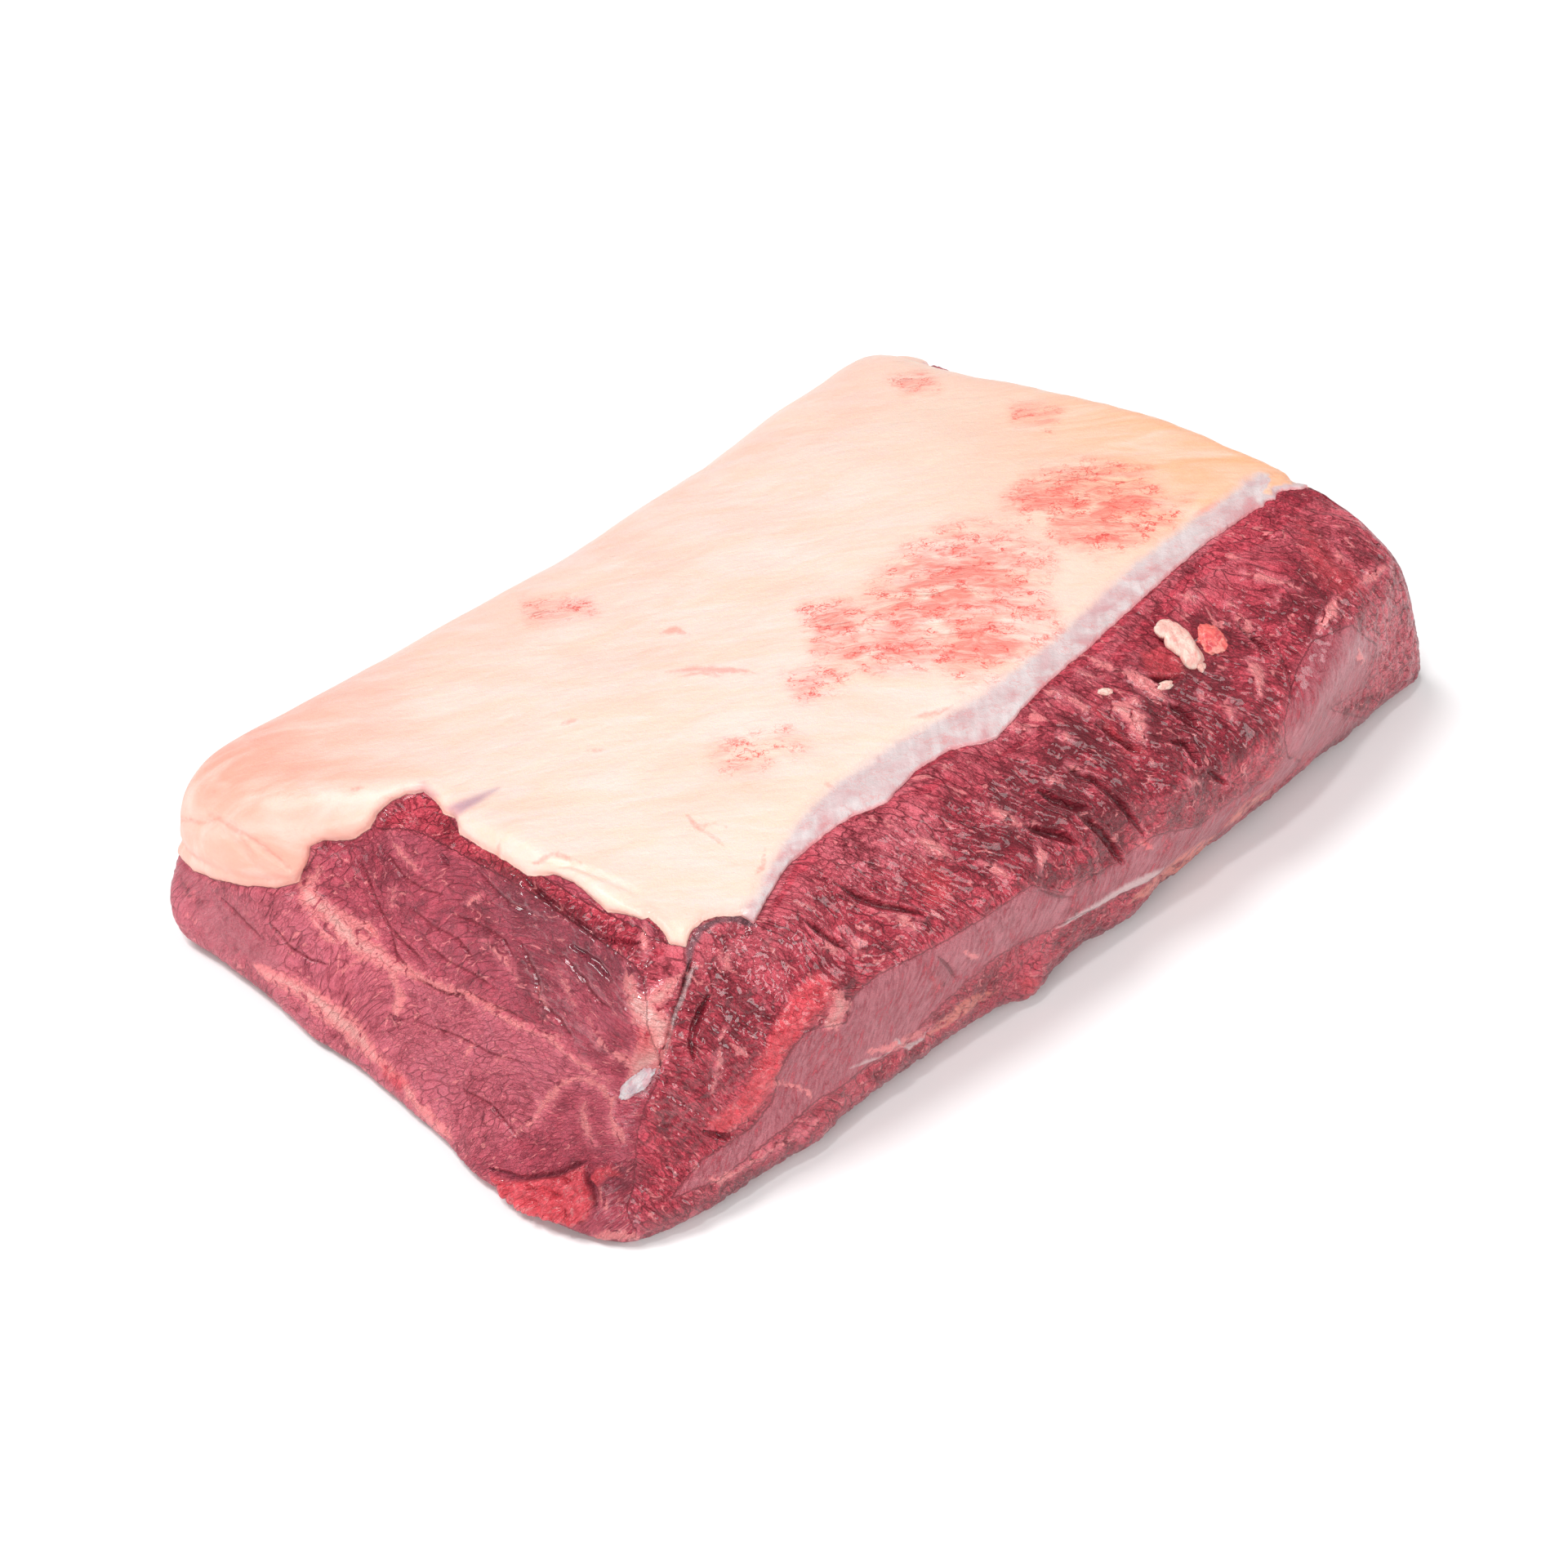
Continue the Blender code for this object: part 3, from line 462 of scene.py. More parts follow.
FINE_CRACKS = streaks(
    (((1321, 1034), (1334, 1052), (1340, 1078)), 1.8),
    (((1186, 1039), (1206, 1052), (1238, 1068)), 1.5),
    (((1240, 1020), (1262, 1040), (1274, 1058)), 1.5),
    (((1167, 1090), (1188, 1110), (1207, 1123)), 1.6),
    (((1130, 1010), (1150, 1032), (1162, 1060)), 1.5),
    (((1150, 985), (1176, 1006), (1200, 1016)), 1.4),
    (((1060, 1140), (1088, 1160), (1110, 1182)), 1.6),
    (((1216, 930), (1240, 944), (1262, 962)), 1.4),
    (((1590, 700), (1612, 716), (1636, 742)), 1.8),
    (((1560, 790), (1578, 820), (1584, 850)), 1.6),
    (((1420, 770), (1400, 752), (1386, 748)), 1.3),
    (((1150, 1172), (1162, 1184), (1172, 1200)), 2.6),
    (((1273, 1090), (1296, 1098), (1313, 1100)), 2.0),
    (((440, 1052), (452, 1080), (464, 1112), (476, 1136), (500, 1160), (520, 1180)), 1.5),
    (((476, 1136), (484, 1168), (512, 1200), (548, 1218), (572, 1216), (604, 1232), (640, 1246)), 1.6),
    (((636, 1152), (656, 1192), (660, 1224), (684, 1248), (702, 1274)), 1.5),
    (((500, 1110), (530, 1134), (560, 1150), (580, 1176)), 1.3),
    (((516, 1150), (544, 1176), (574, 1190), (610, 1212)), 1.3),
    (((560, 1120), (590, 1134), (616, 1150), (628, 1172)), 1.3),
    (((470, 1040), (492, 1072), (520, 1090), (546, 1096)), 1.3),
    (((580, 1060), (600, 1084), (622, 1104), (650, 1118)), 1.4),
    (((690, 1170), (712, 1196), (730, 1224), (748, 1236)), 1.4),
    (((330, 1130), (352, 1158), (380, 1176), (404, 1182)), 1.4),
    (((520, 1254), (560, 1268), (600, 1290), (640, 1300)), 1.3),
    (((560, 1330), (600, 1352), (640, 1400)), 1.3),
    (((270, 1100), (300, 1130), (322, 1150)), 1.3),
)  # fmt: skip
NEAR_CREASES = streaks(
    (((846, 1176), (840, 1203), (834, 1224), (824, 1250), (818, 1276), (808, 1304)), 3.4),
    (((868, 1220), (853, 1249), (847, 1272), (850, 1300)), 4.0),
    (((600, 1432), (640, 1444), (686, 1438), (718, 1422)), 3.4),
    (((722, 1440), (728, 1460), (730, 1476)), 3.6),
    (((862, 1386), (884, 1392), (896, 1390)), 3.0),
    (((636, 1068), (662, 1094), (700, 1124), (732, 1147), (758, 1153), (784, 1154)), (2, 3, 3, 3, 2.4, 2)),
    (((540, 1046), (548, 1062)), 3.0),
    (((450, 1130), (462, 1150)), 2.6),
    (((700, 1158), (730, 1178), (748, 1200)), 3.0),
)
MEMBRANE_RIM = Streak(
    ((842, 1186), (845, 1161), (858, 1137), (879, 1126), (896, 1124), (911, 1128), (925, 1134)), 4.5
)
DARK_PATCHES = patches(
    (((548, 1010), (640, 1082), (722, 1112), (792, 1150), (786, 1215), (720, 1200), (640, 1140), (570, 1075)), 22.0),
    (((356, 1140), (380, 1160), (392, 1210), (368, 1205)), 12.0),
    (((735, 1425), (790, 1420), (800, 1440), (770, 1460), (738, 1460)), 10.0),
    (((800, 1330), (840, 1330), (850, 1370), (800, 1390)), 12.0),
)
PALE_PATCHES = (
    LOWER_MUSCLE,
    # partly a paler tint, partly painted light on the upper edge of the chine side
    Patch(((990, 1040), (1040, 1000), (1120, 975), (1170, 1010), (1130, 1060), (1040, 1085)), 22.0),
    Patch(((590, 1255), (760, 1335), (700, 1330), (600, 1410), (540, 1360)), 18.0),
)
NEAR_DARK = Patch(((440, 1010), (560, 1010), (660, 1090), (760, 1190), (740, 1280), (560, 1210), (470, 1130)), 30.0)
WET_PATCHES = patches(
    (((590, 1044), (640, 1066), (690, 1110), (750, 1160), (786, 1200), (770, 1250), (690, 1190), (610, 1110)), 16.0),
    (((640, 1160), (690, 1220), (740, 1290), (720, 1296), (670, 1240), (632, 1180)), 12.0),
    (((870, 1340), (840, 1400), (800, 1380), (790, 1340)), 14.0),
)


# ------------------------------------------------------------------ meshes
def take_only(piece: bpy.types.Object) -> None:
    """Makes a piece the only selected object and the active one."""
    bpy.ops.object.select_all(action="DESELECT")
    piece.select_set(True)
    bpy.context.view_layer.objects.active = piece


def copy_node(node: str, name: str) -> bpy.types.Object:
    """A copy of a CAD node whose loose triangles are merged and paired into quads.

    Args:
        node: The CAD node's name.
        name: The new piece's name.

    Returns:
        The new piece.
    """
    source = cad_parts[node]
    piece = bpy.data.objects.new(name, source.data.copy())
    bpy.context.scene.collection.objects.link(piece)
    piece.data.materials.clear()
    take_only(piece)
    bpy.ops.object.mode_set(mode="EDIT")
    bpy.ops.mesh.select_all(action="SELECT")
    bpy.ops.mesh.remove_doubles(threshold=1e-6)
    bpy.ops.mesh.tris_convert_to_quads(face_threshold=3.1, shape_threshold=3.1)
    bpy.ops.object.mode_set(mode="OBJECT")
    return piece


def finish_modifier(piece: bpy.types.Object, kind: str, **settings: object) -> None:
    """Adds a modifier with the given settings and applies it."""
    take_only(piece)
    modifier = piece.modifiers.new(kind.lower(), kind)
    for name, value in settings.items():
        setattr(modifier, name, value)
    bpy.ops.object.modifier_apply(modifier=modifier.name)


def read_all(items: bpy.types.bpy_prop_collection, name: str, width: int = 1, kind: type = float) -> np.ndarray:
    """Reads one property of all items of a mesh at once.

    Args:
        items: The vertices, edges, faces or values of a layer.
        name: The property.
        width: How many numbers it holds for each item.
        kind: The type of the numbers.

    Returns:
        The numbers, in rows where an item has more than one.
    """
    values = np.empty(len(items) * width, kind)
    items.foreach_get(name, values)
    return values.reshape(-1, width) if width > 1 else values


def edit_faces(piece: bpy.types.Object, chosen: np.ndarray) -> None:
    """Opens a piece for editing, with only the faces selected whose vertices are all chosen."""
    take_only(piece)
    bpy.ops.object.mode_set(mode="EDIT")
    bpy.ops.mesh.select_mode(type="FACE")
    bpy.ops.mesh.select_all(action="DESELECT")
    bpy.ops.object.mode_set(mode="OBJECT")
    piece.data.polygons.foreach_set("select", whole_faces(piece, chosen))
    bpy.ops.object.mode_set(mode="EDIT")


def thin_out(piece: bpy.types.Object, chosen: np.ndarray, keep: float) -> None:
    """Takes triangles out of part of a mesh.

    Args:
        piece: The piece.
        chosen: For each vertex, whether its surroundings may be thinned.
        keep: The share of the chosen faces to keep.
    """
    group = piece.vertex_groups.new(name="thinned")
    group.add(np.flatnonzero(chosen).tolist(), 1.0, "REPLACE")
    triangles = read_all(piece.data.polygons, "loop_total", kind=np.int32) - 2
    ratio = 1.0 - (1.0 - keep) * triangles[whole_faces(piece, chosen)].sum() / triangles.sum()
    finish_modifier(piece, "DECIMATE", ratio=ratio, vertex_group=group.name, vertex_group_factor=1000.0)
    piece.vertex_groups.clear()


def part_off(piece: bpy.types.Object, chosen: np.ndarray, name: str) -> bpy.types.Object:
    """Moves part of a mesh into a new piece.

    Args:
        piece: The piece to take it from.
        chosen: For each vertex, whether it goes. A face goes when all its vertices do.
        name: The new piece's name.

    Returns:
        The new piece.
    """
    edit_faces(piece, chosen)
    bpy.ops.mesh.separate(type="SELECTED")
    bpy.ops.object.mode_set(mode="OBJECT")
    part = next(other for other in bpy.context.selected_objects if other != piece)
    part.name = part.data.name = name
    return part


def whole_faces(piece: bpy.types.Object, chosen: np.ndarray) -> np.ndarray:
    """For each face, whether all its vertices are chosen."""
    corners = read_all(piece.data.loops, "vertex_index", kind=np.int32)
    starts = read_all(piece.data.polygons, "loop_start", kind=np.int32)
    return np.minimum.reduceat(chosen[corners].astype(int), starts).astype(bool)


def triangle_count(piece: bpy.types.Object) -> int:
    """How many triangles a piece has."""
    return sum(len(face.vertices) - 2 for face in piece.data.polygons)


def points_of(piece: bpy.types.Object) -> np.ndarray:
    """A piece's vertices, one row each."""
    return read_all(piece.data.vertices, "co", 3)


def normals_of(piece: bpy.types.Object) -> np.ndarray:
    """The outward direction at each vertex of a piece."""
    return read_all(piece.data.vertices, "normal", 3)


def move_points(piece: bpy.types.Object, points: np.ndarray) -> None:
    """Gives a piece's vertices new places."""
    piece.data.vertices.foreach_set("co", points.ravel())
    piece.data.update()


def paint(piece: bpy.types.Object, name: str, *channels: np.ndarray) -> None:
    """Stores up to four numbers for each vertex, as a colour that materials can read."""
    values = np.ones((len(piece.data.vertices), 4))
    for number, channel in enumerate(channels):
        values[:, number] = channel
    layer = piece.data.attributes.new(name, "FLOAT_COLOR", "POINT")
    layer.data.foreach_set("color", values.ravel())


def read_layer(piece: bpy.types.Object, name: str) -> np.ndarray:
    """The four numbers of a painted layer, one row for each number."""
    return read_all(piece.data.attributes[name].data, "color", 4, np.float32).T


def store_vectors(piece: bpy.types.Object, name: str, vectors: np.ndarray) -> None:
    """Stores a vector for each vertex, for materials to read."""
    layer = piece.data.attributes.new(name, "FLOAT_VECTOR", "POINT")
    layer.data.foreach_set("vector", vectors.ravel())


def tree_of(piece: bpy.types.Object) -> BVHTree:
    """A search tree of a piece's surface."""
    mesh = piece.data
    return BVHTree.FromPolygons([spot.co for spot in mesh.vertices], [face.vertices[:] for face in mesh.polygons])


def facing(points: np.ndarray, normals: np.ndarray) -> np.ndarray:
    """How much each place of a surface faces the camera: 1 straight at it, negative away from it."""
    towards = VIEW.eye() - points
    return (normals * towards).sum(axis=1) / np.linalg.norm(towards, axis=1)


def gap_to(points: np.ndarray, tree: BVHTree, reach: float) -> np.ndarray:
    """Each point's distance to a surface, or reach where it is further away than that."""
    found = [tree.find_nearest(Vector(point), reach)[3] for point in points]
    return np.array([reach if gap is None else gap for gap in found])


def refine(piece: bpy.types.Object, chosen: np.ndarray) -> None:
    """Halves the faces whose vertices are all chosen, and rounds them off again.

    Args:
        piece: The piece.
        chosen: For each vertex, whether its surroundings get finer.
    """
    edit_faces(piece, chosen)
    bpy.ops.mesh.subdivide(number_cuts=1)
    bpy.ops.object.mode_set(mode="OBJECT")
    finish_modifier(piece, "SMOOTH", factor=0.5, iterations=2)


def spread(piece: bpy.types.Object, values: np.ndarray, rounds: int) -> np.ndarray:
    """Evens out one number for each vertex over its neighbours, time and again."""
    first, second = read_all(piece.data.edges, "vertices", 2, np.int32).T
    count = len(values)
    neighbours = np.bincount(first, minlength=count) + np.bincount(second, minlength=count)
    for _ in range(rounds):
        total = np.bincount(first, values[second], count) + np.bincount(second, values[first], count)
        values = 0.5 * values + 0.5 * total / neighbours
    return values


def keep_normals(piece: bpy.types.Object, layer: str) -> None:
    """Makes a piece shade by the outward directions stored in a layer, and takes the layer away."""
    stored = piece.data.attributes[layer]
    piece.data.normals_split_custom_set_from_vertices(read_all(stored.data, "vector", 3).tolist())
    piece.data.attributes.remove(stored)


def finish_piece(piece: bpy.types.Object, material: bpy.types.Material, slot: str, *nodes: str) -> None:
    """Dresses a finished piece and hands it to the frame.

    Args:
        piece: The piece.
        material: Its only material.
        slot: Not used.
        nodes: The CAD nodes that it stands for.
    """
    piece.data.materials.append(material)
    piece.data.shade_smooth()
    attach(piece, "root")
    if nodes:
        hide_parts(*nodes)
    LOG.info("%s: %d triangles", piece.name, triangle_count(piece))


# ------------------------------------------------------------------ materials
class Graph:
    """Adds nodes to one node tree and links them."""

    def __init__(self, tree: bpy.types.NodeTree) -> None:
        """Takes the tree that nodes are added to."""
        self.tree = tree

    def node(self, kind: str, inputs: dict | None = None, **settings: object) -> bpy.types.Node:
        """Adds a node.

        Args:
            kind: The node's type, such as ShaderNodeMath.
            inputs: What its inputs get, by name or number: a value or another node's socket.
            settings: Its own properties.

        Returns:
            The new node.
        """
        made = self.tree.nodes.new(kind)
        for name, value in settings.items():
            setattr(made, name, value)
        for key, value in (inputs or {}).items():
            if isinstance(value, bpy.types.NodeSocket):
                self.tree.links.new(value, made.inputs[key])
            else:
                made.inputs[key].default_value = value
        return made

    def math(self, operation: str, *values: object) -> bpy.types.NodeSocket:
        """The result of a Math node."""
        return self.node("ShaderNodeMath", dict(enumerate(values)), operation=operation).outputs[0]

    def times(self, first: object, second: object) -> bpy.types.NodeSocket:
        """One number times another."""
        return self.math("MULTIPLY", first, second)

    def line(self, value: object, slope: object, start: object) -> bpy.types.NodeSocket:
        """A number times slope, plus start."""
        return self.math("MULTIPLY_ADD", value, slope, start)

    def swing(self, noise: object, amount: object, start: object = 0.0) -> bpy.types.NodeSocket:
        """Start, moved up and down by noise about 0.5, by amount for each unit of it."""
        return self.line(self.math("SUBTRACT", noise, 0.5), amount, start)

    def mix(self, share: object, first: object, second: object) -> bpy.types.NodeSocket:
        """The colour from first (where share is 0) to second (where it is 1)."""
        return self.node("ShaderNodeMix", {0: share, 6: first, 7: second}, data_type="RGBA").outputs[2]

    def laid_over(self, colour: object, *layers: tuple[object, object]) -> bpy.types.NodeSocket:
        """A colour with others laid over it in turn, each given as its share and the colour."""
        for share, tone in layers:
            colour = self.mix(share, colour, tone)
        return colour

    def feed(self, node: bpy.types.Node, **sockets: bpy.types.NodeSocket) -> None:
        """Links sockets to a node's inputs, named with _ for each space."""
        for name, socket in sockets.items():
            self.tree.links.new(socket, node.inputs[name.replace("_", " ")])

    def blend(self, share: object, first: object, second: object) -> bpy.types.NodeSocket:
        """The number from first (where share is 0) to second (where it is 1)."""
        return self.node("ShaderNodeMix", {0: share, 2: first, 3: second}, data_type="FLOAT").outputs[0]

    def step(self, value: object, low: float, high: float, most: float = 1.0) -> bpy.types.NodeSocket:
        """An S curve from 0 at low to most at high."""
        inputs = {"Value": value, "From Min": low, "From Max": high, "To Max": most}
        return self.node("ShaderNodeMapRange", inputs, interpolation_type="SMOOTHSTEP").outputs[0]

    def scaled(self, vector: object, scale: tuple[float, float, float]) -> bpy.types.NodeSocket:
        """A vector with each part scaled on its own."""
        inputs = {0: vector, 1: scale}
        return self.node("ShaderNodeVectorMath", inputs, operation="MULTIPLY").outputs[0]

    def turned(self, vector: object, angle: float) -> bpy.types.NodeSocket:
        """A vector turned about +Z by an angle in radians."""
        inputs = {"Vector": vector, "Angle": angle}
        return self.node("ShaderNodeVectorRotate", inputs, rotation_type="Z_AXIS").outputs[0]

    def noise(self, vector: object, scale: float, detail: float = 2.0, twist: float = 0.0) -> bpy.types.NodeSocket:
        """Noise of scale cells to the vector's unit, about 0.5 on average."""
        inputs = {"Vector": vector, "Scale": scale, "Detail": detail, "Distortion": twist}
        return self.node("ShaderNodeTexNoise", inputs).outputs["Fac"]

    def cell_edge(self, vector: object, scale: float) -> bpy.types.NodeSocket:
        """The distance to the nearest border between irregular cells."""
        inputs = {"Vector": vector, "Scale": scale}
        return self.node("ShaderNodeTexVoronoi", inputs, feature="DISTANCE_TO_EDGE").outputs["Distance"]

    def wavy(self, vector: object, scale: float, detail: float, amount: float, start: object) -> bpy.types.NodeSocket:
        """A vector pushed about by coloured noise.

        Args:
            vector: Where the noise is read.
            scale: The noise's cells to the unit.
            detail: The noise's layers.
            amount: How far it pushes.
            start: The vector that is pushed.

        Returns:
            The pushed vector.
        """
        wave = self.node("ShaderNodeTexNoise", {"Vector": vector, "Scale": scale, "Detail": detail})
        inputs = {0: wave.outputs["Color"], 1: (amount, amount, amount), 2: start}
        return self.node("ShaderNodeVectorMath", inputs, operation="MULTIPLY_ADD").outputs[0]

    def painted(self, name: str) -> list[bpy.types.NodeSocket]:
        """The four numbers of a painted layer."""
        layer = self.node("ShaderNodeAttribute", attribute_name=name)
        parts = self.node("ShaderNodeSeparateColor", {0: layer.outputs["Color"]})
        return [*parts.outputs[:3], layer.outputs["Alpha"]]

    def place(self) -> bpy.types.NodeSocket:
        """The surface's own coordinates, in metres."""
        return self.node("ShaderNodeTexCoord").outputs["Object"]


def new_group(name: str, inputs: dict[str, str], outputs: dict[str, str]) -> tuple:
    """Starts a shader node group.

    Args:
        name: The group's name.
        inputs: Its inputs' names and socket types.
        outputs: Its outputs' names and socket types.

    Returns:
        The group, a graph on it, its input node and its output node.
    """
    tree = bpy.data.node_groups.new(name, "ShaderNodeTree")
    for label, kind in inputs.items():
        tree.interface.new_socket(label, in_out="INPUT", socket_type=kind)
    for label, kind in outputs.items():
        tree.interface.new_socket(label, in_out="OUTPUT", socket_type=kind)
    graph = Graph(tree)
    return tree, graph, graph.node("NodeGroupInput"), graph.node("NodeGroupOutput")


class SharedEffects:
    """The node groups that more than one finish uses."""

    NUMBER = "NodeSocketFloat"
    VECTOR = "NodeSocketVector"
    COLOUR = "NodeSocketColor"

    def __init__(self) -> None:
        """Builds each group once."""
        self.ragged_edge = self._ragged_edge()
        self.strands = self._strands()
        self.veins = self._veins()
        self.moist = self._moist()
        self.cover = CoverLook().build(self)

    def _ragged_edge(self) -> bpy.types.NodeTree:
        """A mask from a painted distance in millimetres, with a torn border instead of a smooth one."""
        inputs = {"Place": self.VECTOR, "Distance": self.NUMBER, "Tear": self.NUMBER, "Softness": self.NUMBER}
        tree, graph, given, result = new_group("ragged edge", inputs, {"Mask": self.NUMBER})
        take = given.outputs
        rough = graph.blend(0.45, graph.noise(take["Place"], 430.0, 4.0, 1.0), graph.noise(take["Place"], 170.0))
        share = graph.math("DIVIDE", graph.swing(rough, take["Tear"], take["Distance"]), take["Softness"])
        graph.feed(result, Mask=graph.step(share, -1.0, 1.0))
        return tree

    def _strands(self) -> bpy.types.NodeTree:
        """Muscle along the first part of the grain: fine grains, bundles, their pale borders and creases, whose
        darkening is painted shade.
        """
        outputs = {"Fine": self.NUMBER, "Bundle": self.NUMBER, "Border": self.NUMBER, "Furrow": self.NUMBER}
        tree, graph, given, result = new_group("muscle strands", {"Grain": self.VECTOR}, outputs)
        grain = given.outputs["Grain"]
        fine = graph.noise(graph.scaled(grain, (1000.0, 1900.0, 1900.0)), 1.0, 2.0, 0.8)
        bundle = graph.noise(graph.scaled(grain, (110.0, 240.0, 240.0)), 1.0, 3.0, 1.0)
        gaps = graph.noise(graph.scaled(grain, (80.0, 190.0, 190.0)), 1.0, 2.0, 0.5)
        wide = graph.step(self._cells(graph, grain, (100.0, 330.0, 330.0)), 0.085, 0.0)
        close = graph.step(self._cells(graph, grain, (250.0, 640.0, 640.0)), 0.100, 0.0)
        furrow = graph.times(wide, graph.step(gaps, 0.40, 0.58))
        furrow = graph.line(close, graph.step(gaps, 0.60, 0.40, 0.55), furrow)
        border = graph.times(wide, graph.step(gaps, 0.44, 0.34))
        graph.feed(result, Fine=fine, Bundle=bundle, Border=border, Furrow=furrow)
        return tree

    def _cells(self, graph: Graph, grain: object, size: tuple[float, float, float]) -> bpy.types.NodeSocket:
        """The distance to the nearest border between long, wavy cells, in cells."""
        cells = graph.scaled(grain, size)
        return graph.cell_edge(graph.wavy(cells, 0.8, 2.0, 1.3, cells), 1.0)

    def _veins(self) -> bpy.types.NodeTree:
        """Thin branching veins and a soft wash of blood."""
        outputs = {"Vein": self.NUMBER, "Wash": self.NUMBER}
        tree, graph, given, result = new_group("blood veins", {"Place": self.VECTOR}, outputs)
        place = given.outputs["Place"]
        moved = graph.wavy(place, 190.0, 3.0, 2.0, graph.scaled(place, (70.0, 210.0, 150.0)))
        lines = [self._folds(graph, moved, scale, width) for scale, width in ((1.0, 0.030), (2.1, 0.036))]
        broken = graph.step(graph.noise(place, 190.0, 2.0), 0.42, 0.60)
        vein = graph.math("MAXIMUM", lines[0], graph.times(lines[1], 0.75))
        wash = graph.noise(graph.scaled(place, (60.0, 130.0, 100.0)), 1.0, 4.0, 0.8)
        graph.feed(result, Vein=graph.times(vein, broken), Wash=wash)
        return tree

    def _folds(self, graph: Graph, vector: object, scale: float, width: float) -> bpy.types.NodeSocket:
        """Thin branching lines, where noise passes its middle."""
        fold = graph.math("ABSOLUTE", graph.math("SUBTRACT", graph.noise(vector, scale, 3.0), 0.5))
        return graph.step(fold, width, 0.12 * width)

    def _moist(self) -> bpy.types.NodeTree:
        """The small swells and beads of a moist surface, as a height."""
        tree, graph, given, result = new_group("moist surface", {"Place": self.VECTOR}, {"Height": self.NUMBER})
        swells = graph.noise(given.outputs["Place"], 480.0, 3.0, 0.5)
        beads = graph.noise(given.outputs["Place"], 2000.0, 2.0, 0.6)
        graph.feed(result, Height=graph.line(beads, 0.55, swells))
        return tree

    def use(self, graph: Graph, group: bpy.types.NodeTree, **inputs: object) -> bpy.types.Node:
        """Places a group in a material.

        Args:
            graph: The material's graph.
            group: The group.
            inputs: What its inputs get, by name.

        Returns:
            The group's node.
        """
        return graph.node("ShaderNodeGroup", inputs, node_tree=group)

    def edge(self, graph: Graph, place: object, distance: object, tear: float, softness: float) -> object:
        """The mask of a torn border where a painted distance passes 0 millimetres."""
        inputs = {"Place": place, "Distance": distance, "Tear": tear, "Softness": softness}
        return self.use(graph, self.ragged_edge, **inputs).outputs["Mask"]

    def use_cover(self, graph: Graph) -> bpy.types.Node:
        """Places the look of the cover in a material, with the layers that are painted for it."""
        rosy, amber, blood, bruise = graph.painted("tint")
        border, skin, streak, seen = graph.painted("rims")
        grain = graph.node("ShaderNodeAttribute", attribute_name="skin_grain").outputs["Vector"]
        thin = graph.painted("strip")[0]
        return self.use(
            graph, self.cover, Place=graph.place(), Grain=grain, Rosy=rosy, Amber=amber, Blood=blood,
            Bruise=bruise, Border=border, Skin=skin, Streak=streak, Seen=seen, Thin=thin,
        )  # fmt: skip


